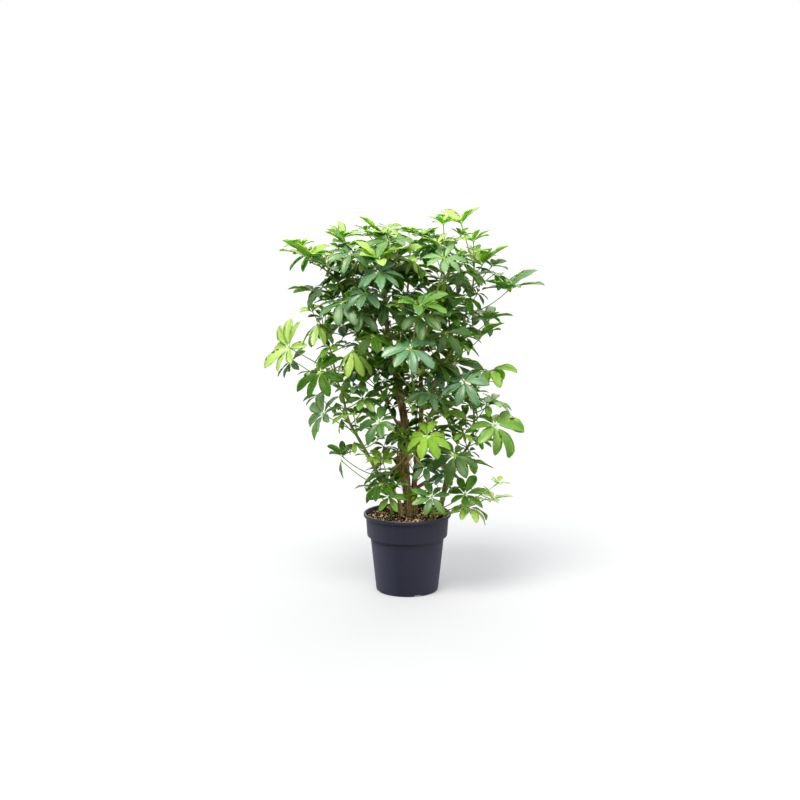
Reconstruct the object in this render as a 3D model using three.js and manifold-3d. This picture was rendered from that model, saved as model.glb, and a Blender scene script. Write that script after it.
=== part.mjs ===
// A dwarf umbrella plant (Schefflera) about a metre high in a plastic nursery pot.
// Millimetres, +Z up. The origin is on the floor under the pot's centre; the side that is seen first faces -Y.
import * as THREE from 'three';
import { mergeVertices } from 'three/addons/utils/BufferGeometryUtils.js';
import Module from 'manifold-3d';

const wasm = await Module();
wasm.setup();

// ---------------------------------------------------------------- driving dimensions

const GAP = 0.3; // between neighbouring pieces that bear on each other

const POT_HEIGHT = 218;
const POT_RIM_RADIUS = 120;
const POT_COLLAR_TOP_RADIUS = 114;
const POT_COLLAR_FOOT_RADIUS = 110;
const POT_COLLAR_FOOT_Z = 157;
const POT_BODY_TOP_RADIUS = 101.5;
const POT_BODY_TOP_Z = 150;
const POT_BASE_RADIUS = 85.5;
const POT_LIP_DEPTH = 10;
const POT_CORNER = 8; // rounding between the floor and the side
const POT_WALL = 2.5;
const POT_FLOOR = 3;
const POT_SIDES = 22; // of the pot and of the soil in it

const SLOT_COUNT = 4; // drain slots through the bottom corner
const SLOT_WIDTH = 23;
const SLOT_HEIGHT = 5;
const SLOT_REACH = 18; // how far a slot runs in from the side
const SLOT_FIRST = -69; // degrees from +X

const SOIL_TOP = 203;
const SOIL_RIPPLE = 1.6;
const STEM_DEPTH = 28; // how deep every stem stands in the soil

const BLADE_THICKNESS = 1.2;
const CLEARANCE = 0.7; // air kept round a leaf, a petiole or a shoot
const BLADE_SHOULDER = 0.62; // widest place, as a share of the leaflet's length
const BLADE_FOLD = 0.3; // how much each half of a leaflet rises beside its midrib
const LEAFLET_SHAPE = 0.42; // width over length
const LEAFLETS = 5; // of a leaf, fewer and wider than on the living plant
const FEW_LEAFLETS = 4; // of a small leaf, or of one inside the foliage
const SMALL_REACH = 50; // a leaf with less reach is small
const FEWEST_LEAFLETS = 3; // a leaf with no room for that many doesn't grow
const HUB_RADIUS = 5; // where neighbouring leaflets part
const LEAFLET_TURN = 0.96; // share of the full turn round the hub that the leaflets fill
const WIDEST_LEAFLET = 0.46; // half angle of a leaflet at most, as a share of the step to the next
const BACKWARD_LOSS = 0.32; // how much shorter the leaflets over the petiole are

// How uneven the leaflets of a leaf are, at most.
const UNEVEN_ANGLE = 0.13; // radians round the hub
const UNEVEN_LENGTH = 0.08; // share of the length
const UNEVEN_RISE = 13; // degrees
const UNEVEN_CURL = 0.35; // share of the curl
const UNEVEN_ROLL = 0.32; // height over width from one edge to the other

const PETIOLE_FOOT_RADIUS = 1.7;
const PETIOLE_TIP_RADIUS = 0.9;
const PETIOLE_SLOPE = 0.6; // rise over run of a petiole
const PETIOLE_RUN = 0.85; // run over length of a petiole in a spiral
const LOWEST_PETIOLE = 1.1; // length over the usual length at the foot of a stem
const PETIOLE_LOSS = 0.25; // and how much less that is at the stem's tip
const PETIOLE_SAG = 0.08; // sag at mid length over the length of a long petiole
const LONG_PETIOLE = 130; // a shorter one is straight
const PETIOLE_END = 0.7; // how far the petiole's end lies under the top of the hub

const GOLDEN_ANGLE = 137.5; // degrees between one leaf of a stem and the next

// The ages of a leaf: rise of its leaflets at the hub, how far they curl down to the tip, and lean of the
// whole leaf away from its stem, all in degrees.
const YOUNG = { rise: 38, curl: 34, lean: 10 };
const FRESH = { rise: 20, curl: 36, lean: 14 };
const CUPPED = { rise: 48, curl: 30, lean: 8 };
const RISEN = { rise: 34, curl: 36, lean: 14 };
const GROWN = { rise: 18, curl: 40, lean: 18 };
const OLD = { rise: 6, curl: 40, lean: 26 };
const ARCHED = { rise: 12, curl: 66, lean: 16 };
const LIMP = { rise: -40, curl: 26, lean: 10 };

// ---------------------------------------------------------------- the plant's plan

// Woody stems, from their buried end upwards: guide points and the radius at each of them.
const TRUNKS = [
  {
    name: 'trunk_main',
    guides: [
      [2, 0, SOIL_TOP - STEM_DEPTH], [2, 0, 235], [-2, 0, 285], [-9, 0, 340], [-10, 0, 385], [-9, 0, 430],
      [-8, 0, 465], [-15, 0, 515], [-24, 0, 565], [-37, 0, 635], [-50, 0, 700], [-58, 0, 755], [-63, 0, 815],
    ],
    radii: [12, 11.5, 12, 15.5, 12.5, 11, 11, 11, 10.5, 9.5, 7.5, 6, 5],
    stub: { guides: [[-8, 0, 326], [-22, -3, 352], [-34, -5, 371]], radii: [9, 9, 8] },
  },
  {
    name: 'trunk_second',
    guides: [
      [21, 14, SOIL_TOP - STEM_DEPTH], [21, 14, 235], [19, 12, 292], [27, 10, 356],
      [32, 0, 419], [37, -20, 492], [37, -30, 562], [34, -30, 640],
    ],
    radii: [9, 8.8, 8.2, 7.8, 7.2, 6.6, 6, 5],
    stub: { guides: [[20, 12, 280], [46, 2, 298], [72, -7, 313], [82, -10, 321]], radii: [5, 5.5, 6, 7.5] },
  },
  {
    name: 'trunk_right',
    guides: [[92, -20, SOIL_TOP - STEM_DEPTH], [92, -20, 228], [98, -20, 270], [106, -20, 312], [109, -20, 326]],
    radii: [7.5, 7.5, 7, 6.5, 4.5],
  },
];

// Leafy stems. parent is the trunk that a stem grows from, or null where it stands in the soil.
// leaves: x, y, z of the hub, age, reach of the longest leaflet, and, where the leaf doesn't just lean away
// from its stem, its lean and the bearing that it leans to, in degrees from +X.
// spiral: leaves placed by rule, from the share of the stem where they begin to the share where they end.
const SHOOTS = [
  {
    name: 'shoot_left',
    parent: null,
    guides: [
      [-17, -22, SOIL_TOP - STEM_DEPTH], [-17, -22, 235], [-36, -22, 279], [-74, -25, 319],
      [-107, -30, 384], [-139, -35, 442], [-160, -35, 483], [-176, -30, 554], [-190, -25, 588],
      [-203, -20, 653], [-216, -20, 696], [-227, -20, 737],
    ],
    radii: [5.2, 5, 4.8, 4.5, 4.2, 3.8, 3.4, 3, 2.6, 2.1, 1.9, 1.8],
    leaves: [
      [-315, -60, 680, FRESH, 98, 62, -138],
      [-310, -10, 640, OLD, 72, 50, -160],
      [-230, -110, 620, OLD, 92, 45, -130],
      [-145, -110, 680, LIMP, 92, 20, -120],
      [-245, 20, 540, OLD, 56, 30, -160],
      [-225, -60, 500, GROWN, 84, 55, -145],
      [-180, 10, 475, LIMP, 44, 20, 180],
      [-175, -60, 565, LIMP, 46, 30, -150],
      [-120, -70, 545, GROWN, 68, 42, -75],
      [-175, -60, 385, CUPPED, 62, 14, -60],
      [-240, -60, 745, LIMP, 82, 10, 180],
      [-80, -30, 425, YOUNG, 36, 20, -90],
    ],
  },
  {
    name: 'shoot_upper_left',
    parent: 'trunk_main',
    guides: [
      [-46, 0, 684], [-96, 0, 716], [-150, 0, 743], [-166, 0, 775], [-173, 0, 821], [-189, 0, 853],
      [-216, -5, 880], [-240, -12, 898],
    ],
    radii: [4.5, 4, 3.6, 3.2, 2.8, 2.4, 2, 1.8],
    leaves: [
      [-265, -40, 915, YOUNG, 98, 3, 0],
      [-210, -60, 890, RISEN, 80, 10, -90],
      [-175, 40, 965, YOUNG, 76, 10, -60],
      [-250, 10, 825, OLD, 82, 8, 0],
      [-170, -100, 805, OLD, 90, 30, -120],
      [-175, -40, 765, OLD, 84, 24, -160],
      [-110, -120, 830, OLD, 80, 28, -90],
      [-185, -30, 850, CUPPED, 58, 10, -60],
      [-100, -90, 745, LIMP, 50, 25, -90],
    ],
    spiral: { from: 0.3, to: 0.95, count: 4, petiole: 75, age: OLD, reach: 82, bearing: 70 },
  },
  {
    name: 'shoot_crown_left',
    parent: 'trunk_main',
    guides: [[-57, 0, 742], [-106, -15, 798], [-143, -30, 858], [-156, -42, 912]],
    radii: [3.8, 3, 2.4, 1.8],
    leaves: [
      [-160, -40, 945, RISEN, 84, 12, 0],
      [-75, -140, 885, OLD, 84, 26, -100],
      [-110, -60, 640, GROWN, 66, 32, -90],
      [-90, -130, 720, OLD, 80, 28, -80],
      [-120, -110, 775, OLD, 70, 28, -95],
    ],
    spiral: { from: 0.2, to: 0.9, count: 3, petiole: 80, age: OLD, reach: 84, bearing: 0 },
  },
  {
    name: 'shoot_crown',
    parent: 'trunk_main',
    guides: [[-62, 0, 800], [-60, 0, 840], [-55, -2, 872], [-52, -6, 900], [-57, -14, 932]],
    radii: [4.5, 3.4, 2.8, 2.2, 1.8],
    leaves: [
      [-70, -20, 970, YOUNG, 88, 12, 0],
      [-75, -110, 915, YOUNG, 98, 18, -90],
      [-25, -60, 920, YOUNG, 82, 16, -70],
      [-40, -50, 870, OLD, 80, 26, -70],
      [-50, -90, 795, OLD, 84, 28, -80],
    ],
    spiral: { from: 0.3, to: 0.95, count: 3, petiole: 85, age: GROWN, reach: 86, bearing: 0 },
  },
  {
    name: 'shoot_crown_right',
    parent: 'trunk_second',
    guides: [
      [34, -30, 632], [45, -26, 680], [55, -20, 723], [66, -20, 770], [76, -20, 817], [93, -18, 880],
      [102, -12, 930],
    ],
    radii: [4.8, 4, 3.6, 3.2, 2.8, 2.2, 1.8],
    leaves: [
      [40, 20, 970, RISEN, 76, 8, 180],
      [95, -30, 1005, YOUNG, 58, 6, 180],
      [95, 0, 945, RISEN, 76, 22, -90],
      [95, -110, 920, GROWN, 76, 36, -85],
      [15, -60, 910, LIMP, 46, 10, 180],
      [25, -20, 875, OLD, 70, 22, -90],
      [95, -80, 765, RISEN, 64, 20, -90],
      [100, -110, 725, OLD, 80, 30, -80],
    ],
    spiral: { from: 0.3, to: 0.95, count: 4, petiole: 85, age: OLD, reach: 84, bearing: 60 },
  },
  {
    name: 'shoot_upper_right',
    parent: 'trunk_second',
    guides: [
      [37, -26, 540], [62, -12, 560], [83, -5, 599], [107, 0, 645], [137, 0, 702], [155, 0, 754],
      [168, 0, 802], [176, -5, 843], [178, -25, 900],
    ],
    radii: [5, 4.6, 4.4, 4, 3.5, 3, 2.6, 2.2, 1.8],
    leaves: [
      [145, 20, 1005, YOUNG, 88, 12, 180],
      [175, -40, 960, YOUNG, 68, 6, 180],
      [200, 0, 895, YOUNG, 104, 10, 180],
      [270, -20, 830, RISEN, 108, 6, 180],
      [150, -60, 815, OLD, 80, 20, -60],
      [220, 10, 745, RISEN, 84, 6, 180],
      [195, -50, 705, RISEN, 86, 8, 180],
      [135, -70, 690, ARCHED, 58, 16, 0],
    ],
    spiral: { from: 0.3, to: 0.85, count: 3, petiole: 80, age: OLD, reach: 80, bearing: 100 },
  },
  {
    name: 'shoot_right',
    parent: 'trunk_right',
    guides: [
      [103, -20, 298], [122, -20, 334], [143, -20, 373], [166, -12, 405], [180, 0, 442], [182, 8, 487],
      [174, 10, 528], [164, 5, 571],
    ],
    radii: [4.2, 3.8, 3.6, 3.3, 3, 2.6, 2.2, 1.8],
    leaves: [
      [125, -120, 400, OLD, 88, 40, -90],
      [150, -100, 595, OLD, 86, 40, -90],
      [90, -60, 535, GROWN, 64, 28, -40],
      [225, 0, 610, ARCHED, 86, 8, 180],
      [175, -20, 540, ARCHED, 58, 20, 20],
      [235, -60, 470, ARCHED, 110, 44, -60],
      [160, 40, 475, GROWN, 62, 20, -60],
      [150, -40, 450, LIMP, 40, 10, 0],
      [165, -30, 360, GROWN, 76, 20, 0],
      [235, -10, 255, YOUNG, 66, 20, 0],
    ],
    spiral: { from: 0.3, to: 0.95, count: 4, petiole: 70, age: GROWN, reach: 74, bearing: 60 },
  },
  {
    name: 'shoot_front',
    parent: 'trunk_second',
    guides: [
      [37, -24, 512], [24, -70, 540], [14, -105, 590], [10, -122, 650], [15, -128, 710], [22, -128, 755],
    ],
    radii: [4, 3.4, 3, 2.6, 2.2, 1.8],
    leaves: [
      [5, -200, 695, OLD, 92, 30, -90],
      [30, -170, 800, RISEN, 96, 18, -90],
      [-25, -110, 660, OLD, 74, 26, -110],
      [55, -130, 570, OLD, 74, 36, -60],
      [20, -120, 540, YOUNG, 42, 50, -90],
      [-55, -80, 575, OLD, 64, 30, -120],
      [-75, -60, 615, OLD, 66, 24, -110],
      [0, -60, 580, OLD, 62, 26, -80],
      [75, -80, 625, OLD, 76, 28, -70],
      [105, -60, 510, GROWN, 72, 24, -60],
    ],
    spiral: { from: 0.45, to: 0.95, count: 3, petiole: 75, age: OLD, reach: 84, bearing: 10 },
  },
  {
    name: 'shoot_front_low',
    parent: 'trunk_main',
    guides: [[-10, 0, 388], [-4, -40, 402], [5, -75, 418], [8, -95, 442]],
    radii: [3.4, 2.8, 2.3, 1.8],
    leaves: [
      [50, -170, 460, ARCHED, 94, 40, -90],
      [-75, -120, 490, OLD, 78, 36, -110],
      [-10, -90, 445, OLD, 56, 30, -90],
      [45, -110, 365, OLD, 54, 34, -80],
    ],
  },
  {
    name: 'shoot_base_left',
    parent: null,
    guides: [
      [-42, -34, SOIL_TOP - STEM_DEPTH], [-42, -34, 225], [-46, -40, 262], [-52, -48, 300],
      [-56, -54, 335],
    ],
    radii: [3.2, 3, 2.6, 2.2, 1.8],
    leaves: [
      [-65, -70, 370, YOUNG, 60, 35, -110],
      [-70, -90, 315, OLD, 72, 30, -120],
      [-50, -90, 280, GROWN, 62, 42, -100],
    ],
  },
  {
    name: 'shoot_base_right',
    parent: null,
    guides: [
      [66, -62, SOIL_TOP - STEM_DEPTH], [66, -62, 225], [76, -64, 250], [92, -64, 268], [106, -62, 292],
      [112, -60, 320],
    ],
    radii: [3.2, 3, 2.8, 2.5, 2.2, 1.8],
    leaves: [
      [155, -80, 285, GROWN, 78, 36, -90],
      [65, -110, 285, GROWN, 68, 48, -90],
      [165, -70, 245, ARCHED, 84, 14, -60],
    ],
  },
  {
    name: 'shoot_back_left',
    parent: 'trunk_main',
    guides: [
      [-9, 0, 432], [-40, 50, 480], [-80, 95, 560], [-108, 120, 640], [-120, 125, 720], [-125, 120, 800],
      [-128, 110, 870],
    ],
    radii: [4.5, 4, 3.6, 3.2, 2.8, 2.3, 1.8],
    leaves: [
      [-95, 40, 480, GROWN, 68, 20, 90],
    ],
    spiral: { from: 0.2, to: 0.98, count: 9, petiole: 90, age: OLD, reach: 94, bearing: 20 },
  },
  {
    name: 'shoot_back_right',
    parent: 'trunk_second',
    guides: [
      [32, 0, 422], [60, 50, 470], [92, 90, 550], [112, 110, 630], [118, 120, 710], [110, 120, 790],
      [100, 110, 860],
    ],
    radii: [4.5, 4, 3.6, 3.2, 2.8, 2.3, 1.8],
    leaves: [],
    spiral: { from: 0.2, to: 0.98, count: 9, petiole: 90, age: OLD, reach: 94, bearing: 20 },
  },
  {
    name: 'shoot_back',
    parent: 'trunk_main',
    guides: [[-28, 0, 590], [-20, 45, 650], [-10, 80, 730], [0, 95, 810], [5, 95, 880], [8, 85, 930]],
    radii: [4, 3.6, 3.2, 2.8, 2.3, 1.8],
    leaves: [],
    spiral: { from: 0.2, to: 0.98, count: 7, petiole: 90, age: OLD, reach: 92, bearing: 60 },
  },
  {
    name: 'shoot_back_low',
    parent: null,
    guides: [
      [10, 52, SOIL_TOP - STEM_DEPTH], [10, 52, 225], [20, 75, 290], [25, 95, 360], [25, 100, 430],
      [28, 100, 500],
    ],
    radii: [3.8, 3.6, 3.2, 2.8, 2.3, 1.8],
    leaves: [],
    spiral: { from: 0.35, to: 0.98, count: 6, petiole: 80, age: OLD, reach: 88, bearing: 190 },
  },
];

// ---------------------------------------------------------------- small helpers

const radians = THREE.MathUtils.degToRad;
const UP = new THREE.Vector3(0, 0, 1);

/** Level unit vector at a bearing in degrees from +X. */
function bearingVector(degrees) {
  return new THREE.Vector3(Math.cos(radians(degrees)), Math.sin(radians(degrees)), 0);
}

/** Even, repeatable spread of values in -1..1 over the leaves and, with another key, within each leaf. */
function spread(leaf, key) {
  const value = leaf * 0.618034 + key * 0.754878;
  return (value - Math.floor(value)) * 2 - 1;
}

/** Point at a place along straight legs between guide points: 1.5 is halfway from the second to the third. */
function pointAt(guides, place) {
  const leg = Math.min(Math.floor(place), guides.length - 2);
  const start = new THREE.Vector3(...guides[leg]);
  const end = new THREE.Vector3(...guides[leg + 1]);
  return start.lerp(end, place - leg);
}

/** Solid of a closed mesh given as flat coordinates and triangle corners. */
function solidOf(positions, corners) {
  const mesh = new wasm.Mesh({
    numProp: 3,
    vertProperties: new Float32Array(positions),
    triVerts: new Uint32Array(corners),
  });
  return new wasm.Manifold(mesh);
}

/** Solid of a three.js geometry, whose shared vertices are merged first. */
function solidOfGeometry(geometry) {
  geometry.deleteAttribute('normal');
  geometry.deleteAttribute('uv');
  const merged = mergeVertices(geometry, 1e-4);
  return solidOf(merged.attributes.position.array, merged.index.array);
}

/** The largest connected body of a solid: loose scraps go and hollows that fusing sealed are filled. */
function largestBody(solid) {
  const bodies = solid.decompose();
  bodies.sort((a, b) => b.volume() - a.volume());
  return bodies[0];
}

/** Closed tube through points, with a radius at each of them, flat ends and few sides. */
function tube(points, radii, sides) {
  const positions = [];
  const corners = [];
  let across = new THREE.Vector3(1, 0, 0);
  points.forEach((point, ring) => {
    const ahead = points[Math.min(ring + 1, points.length - 1)];
    const behind = points[Math.max(ring - 1, 0)];
    const along = ahead.clone().sub(behind).normalize();
    across = across.addScaledVector(along, -across.dot(along)).normalize();
    const beside = along.clone().cross(across);
    for (let side = 0; side < sides; side += 1) {
      const angle = (2 * Math.PI * side) / sides;
      const corner = point.clone();
      corner.addScaledVector(across, radii[ring] * Math.cos(angle));
      corner.addScaledVector(beside, radii[ring] * Math.sin(angle));
      positions.push(...corner.toArray());
    }
  });
  const last = (points.length - 1) * sides;
  for (let ring = 0; ring < last; ring += sides) {
    for (let side = 0; side < sides; side += 1) {
      const next = (side + 1) % sides;
      corners.push(ring + side, ring + next, ring + sides + next);
      corners.push(ring + side, ring + sides + next, ring + sides + side);
    }
  }
  for (let side = 1; side < sides - 1; side += 1) {
    corners.push(0, side + 1, side);
    corners.push(last, last + side, last + side + 1);
  }
  return solidOf(positions, corners);
}

/** Tube along guide points, made thicker all round and longer at both ends by an allowance. */
function limb({ guides, radii }, sides, allowance = 0) {
  const points = guides.map((guide) => new THREE.Vector3(...guide));
  const last = points.length - 1;
  const startWay = points[0].clone().sub(points[1]).normalize();
  const endWay = points[last].clone().sub(points[last - 1]).normalize();
  points[0].addScaledVector(startWay, allowance);
  points[last].addScaledVector(endWay, allowance);
  return tube(points, radii.map((radius) => radius + allowance), sides);
}

// ---------------------------------------------------------------- pot and soil

const TRUNK_SIDES = 10;
const SHOOT_SIDES = 4;
const PETIOLE_SIDES = 3;

/** Solid turned round the pot's axis from an outline of radius and height pairs. */
function turned(outline, sides) {
  const profile = outline.map(([radius, height]) => new THREE.Vector2(radius, height));
  const geometry = new THREE.LatheGeometry(profile, sides);
  geometry.rotateX(Math.PI / 2);
  return geometry;
}

/** Nursery pot: tapered body, wider collar above a rounded step, flared lip and slots in the bottom corner. */
function makePot() {
  const lipZ = POT_HEIGHT - POT_LIP_DEPTH;
  const outside = [
    [0, 0],
    [POT_BASE_RADIUS - POT_CORNER, 0],
    [POT_BASE_RADIUS - 2.3, 2.3],
    [POT_BASE_RADIUS, POT_CORNER],
    [POT_BODY_TOP_RADIUS, POT_BODY_TOP_Z],
    [POT_BODY_TOP_RADIUS + 2, POT_BODY_TOP_Z + 2.5],
    [POT_COLLAR_FOOT_RADIUS - 1, POT_COLLAR_FOOT_Z - 2.5],
    [POT_COLLAR_FOOT_RADIUS, POT_COLLAR_FOOT_Z + 1],
    [POT_COLLAR_TOP_RADIUS, lipZ - 1.5],
    [POT_RIM_RADIUS, lipZ],
    [POT_RIM_RADIUS, POT_HEIGHT - 2],
    [POT_RIM_RADIUS - 1.5, POT_HEIGHT],
    [POT_COLLAR_TOP_RADIUS + 0.5, POT_HEIGHT],
  ];
  const inside = [
    [POT_COLLAR_TOP_RADIUS - POT_WALL, lipZ - 2],
    [POT_COLLAR_FOOT_RADIUS - POT_WALL, POT_COLLAR_FOOT_Z + 2.5],
    [POT_BODY_TOP_RADIUS + 1, POT_COLLAR_FOOT_Z - 1.5],
    [POT_BODY_TOP_RADIUS - POT_WALL, POT_BODY_TOP_Z + 1.5],
    [POT_BASE_RADIUS - POT_WALL, POT_CORNER],
    [POT_BASE_RADIUS - POT_CORNER, POT_FLOOR],
    [0, POT_FLOOR],
  ];
  let pot = solidOfGeometry(turned([...outside, ...inside], POT_SIDES));
  for (let slot = 0; slot < SLOT_COUNT; slot += 1) {
    const way = bearingVector(SLOT_FIRST + (360 / SLOT_COUNT) * slot);
    const cutter = new THREE.BoxGeometry(2 * SLOT_REACH, SLOT_WIDTH, 2 * SLOT_HEIGHT);
    cutter.rotateZ(Math.atan2(way.y, way.x));
    cutter.translate(way.x * POT_BASE_RADIUS, way.y * POT_BASE_RADIUS, 0);
    pot = pot.subtract(solidOfGeometry(cutter));
  }
  return pot;
}

/** Potting soil that fills the pot to just under the lip, with a hole for every stem that stands in it. */
function makeSoil(buried) {
  const outline = [
    [0, POT_FLOOR + GAP],
    [POT_BASE_RADIUS - POT_CORNER - GAP, POT_FLOOR + GAP],
    [POT_BASE_RADIUS - POT_WALL - GAP, POT_CORNER + GAP],
    [POT_BODY_TOP_RADIUS - POT_WALL - GAP, POT_BODY_TOP_Z + 2],
    [POT_BODY_TOP_RADIUS + 1 - 2 * GAP, POT_COLLAR_FOOT_Z - 1],
    [POT_COLLAR_FOOT_RADIUS - POT_WALL - GAP - 0.1, POT_COLLAR_FOOT_Z + 3],
    [POT_COLLAR_TOP_RADIUS - POT_WALL - GAP - 0.4, SOIL_TOP - 1],
    [80, SOIL_TOP + 0.4],
    [40, SOIL_TOP + 1],
    [0, SOIL_TOP + 1.6],
  ];
  const geometry = turned(outline, POT_SIDES);
  const place = geometry.attributes.position;
  for (let corner = 0; corner < place.count; corner += 1) {
    const x = place.getX(corner);
    const y = place.getY(corner);
    const inner = Math.hypot(x, y) < 100 && place.getZ(corner) > SOIL_TOP - 1;
    const ripple = inner ? SOIL_RIPPLE * Math.sin(0.11 * x + 1) * Math.cos(0.13 * y) : 0;
    place.setZ(corner, place.getZ(corner) + ripple);
  }
  let soil = solidOfGeometry(geometry);
  for (const stem of buried) {
    const guides = stem.guides.slice(0, 2);
    const radii = stem.radii.slice(0, 2);
    soil = soil.subtract(limb({ guides, radii }, stem.sides, GAP * 1.4));
  }
  return soil;
}

// ---------------------------------------------------------------- leaves

/** Leaves of a shoot that follow its rule: one turn of the golden angle after another up the stem. */
function spiralLeaves({ guides, spiral }) {
  const leaves = [];
  if (!spiral) {
    return leaves;
  }
  for (let k = 0; k < spiral.count; k += 1) {
    const share = spiral.from + ((spiral.to - spiral.from) * k) / (spiral.count - 1);
    const place = share * (guides.length - 1);
    const foot = pointAt(guides, place);
    const way = bearingVector(spiral.bearing + GOLDEN_ANGLE * k);
    const length = spiral.petiole * (LOWEST_PETIOLE - PETIOLE_LOSS * share);
    const hub = foot.clone().addScaledVector(way, length * PETIOLE_RUN);
    hub.addScaledVector(UP, length * PETIOLE_RUN * PETIOLE_SLOPE);
    leaves.push({ hub, foot, age: spiral.age, reach: spiral.reach, count: FEW_LEAFLETS });
  }
  return leaves;
}

/** Foot of a petiole: where the way up from the stem to the hub is nearest to a petiole's usual slope. */
function footOf(guides, hub) {
  let best = null;
  let bestCost = Infinity;
  for (let place = 1.1; place <= guides.length - 1.05; place += 0.1) {
    const foot = pointAt(guides, place);
    const run = Math.hypot(hub.x - foot.x, hub.y - foot.y);
    const cost = Math.abs(hub.z - foot.z - PETIOLE_SLOPE * run) + 0.3 * hub.distanceTo(foot);
    if (cost < bestCost) {
      best = foot;
      bestCost = cost;
    }
  }
  return best;
}

/** Every leaf of a shoot, with its hub, the foot of its petiole, and the way that it faces. */
function leavesOf(shoot, firstNumber) {
  const listed = shoot.leaves.map(([x, y, z, age, reach, lean, bearing]) => {
    const hub = new THREE.Vector3(x, y, z);
    const foot = footOf(shoot.guides, hub);
    const count = reach < SMALL_REACH ? FEW_LEAFLETS : LEAFLETS;
    return { hub, foot, age, reach, lean, bearing, count };
  });
  const all = [...listed, ...spiralLeaves(shoot)];
  all.forEach((leaf, k) => {
    const away = leaf.hub.clone().sub(leaf.foot);
    const level = new THREE.Vector3(away.x, away.y, 0).normalize();
    const leanWay = leaf.bearing === undefined ? level : bearingVector(leaf.bearing);
    const lean = radians(leaf.lean === undefined ? leaf.age.lean : leaf.lean);
    leaf.number = firstNumber + k;
    leaf.normal = UP.clone().multiplyScalar(Math.cos(lean)).addScaledVector(leanWay, Math.sin(lean));
    leaf.out = away.addScaledVector(leaf.normal, -away.dot(leaf.normal)).normalize();
    leaf.side = leaf.normal.clone().cross(leaf.out);
    leaf.leaflets = leafletsOf(leaf);
  });
  return all;
}

/** The leaflets of a leaf, longest opposite the petiole: bearing round the hub, length, width and rise. */
function leafletsOf({ number, count, reach, age }) {
  const leaflets = [];
  const step = (LEAFLET_TURN * 2 * Math.PI) / count;
  for (let k = 0; k < count; k += 1) {
    const angle = (k - (count - 1) / 2) * step;
    const backward = Math.pow(Math.abs(angle) / Math.PI, 1.5);
    const uneven = 1 - UNEVEN_LENGTH + UNEVEN_LENGTH * spread(number, k);
    const length = reach * (1 - BACKWARD_LOSS * backward) * uneven;
    leaflets.push({
      angle: angle + UNEVEN_ANGLE * spread(number, k + 20),
      step,
      length,
      width: length * LEAFLET_SHAPE,
      rise: age.rise + UNEVEN_RISE * spread(number, k + 40),
      curl: age.curl * (1 + UNEVEN_CURL * spread(number, k + 50)),
      roll: UNEVEN_ROLL * spread(number, k + 60),
    });
  }
  return leaflets;
}

/** Distance out and height over the hub, at a share of the length of a leaflet that bends in an arc. */
function arcPoint({ length, rise, curl }, share) {
  const start = radians(rise);
  const bend = radians(curl);
  return {
    out: (length * (Math.sin(start) - Math.sin(start - bend * share))) / bend,
    height: (length * (Math.cos(start - bend * share) - Math.cos(start))) / bend,
  };
}

/** Point of a leaf at a distance and an angle round its hub, and a height over it. */
function leafPoint(leaf, out, angle, height) {
  return leaf.hub
    .clone()
    .addScaledVector(leaf.out, out * Math.cos(angle))
    .addScaledVector(leaf.side, out * Math.sin(angle))
    .addScaledVector(leaf.normal, height);
}

/** Right shoulder, tip and left shoulder of a leaflet. */
function bladeCorners(leaf, leaflet, allowance = 0) {
  const shoulder = arcPoint(leaflet, BLADE_SHOULDER);
  const tip = arcPoint(leaflet, 1);
  const reachable = Math.atan2(leaflet.width / 2 + allowance, shoulder.out);
  const half = Math.min(reachable, WIDEST_LEAFLET * leaflet.step);
  const out = shoulder.out / Math.cos(half);
  const fold = BLADE_FOLD * (leaflet.width / 2);
  const roll = leaflet.roll * (leaflet.width / 2);
  return [
    leafPoint(leaf, out, leaflet.angle - half, shoulder.height + fold - roll),
    leafPoint(leaf, tip.out + allowance, leaflet.angle, tip.height),
    leafPoint(leaf, out, leaflet.angle + half, shoulder.height + fold + roll),
  ];
}

/** Corners of a slab: the given points moved up along the normal, then the same points moved down. */
function slab(points, normal, above, below) {
  const positions = [];
  for (const lift of [above, -below]) {
    for (const point of points) {
      positions.push(...point.clone().addScaledVector(normal, lift).toArray());
    }
  }
  return positions;
}

/** One leaf as a single solid: a star of folded blades, cut in to the hub between one and the next. */
function makeStar(leaf) {
  const { leaflets } = leaf;
  const outline = [];
  leaflets.forEach((leaflet, k) => {
    const before = leaflets[(k + leaflets.length - 1) % leaflets.length];
    const turn = k === 0 ? 2 * Math.PI : 0;
    const notch = (before.angle - turn + leaflet.angle) / 2;
    outline.push(leafPoint(leaf, HUB_RADIUS, notch, 0));
    outline.push(...bladeCorners(leaf, leaflet));
  });
  const positions = slab(outline, leaf.normal, 0, BLADE_THICKNESS);
  const count = outline.length;
  const faces = [];
  for (let notch = 0; notch < count; notch += 4) {
    const [right, tip, left] = [notch + 1, notch + 2, notch + 3];
    const next = (notch + 4) % count;
    faces.push([notch, right, tip], [notch, tip, next], [next, tip, left]);
    if (notch > 0 && next > 0) {
      faces.push([0, notch, next]);
    }
  }
  return solidOf(positions, slabCorners(faces, count));
}

/** Triangle corners of a slab: faces on top, the same faces turned over below, and a wall round the outline. */
function slabCorners(faces, count) {
  const corners = [];
  for (const [a, b, c] of faces) {
    corners.push(a, b, c);
    corners.push(count + a, count + c, count + b);
  }
  for (let a = 0; a < count; a += 1) {
    const b = (a + 1) % count;
    corners.push(a, count + a, count + b);
    corners.push(a, count + b, b);
  }
  return corners;
}

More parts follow.
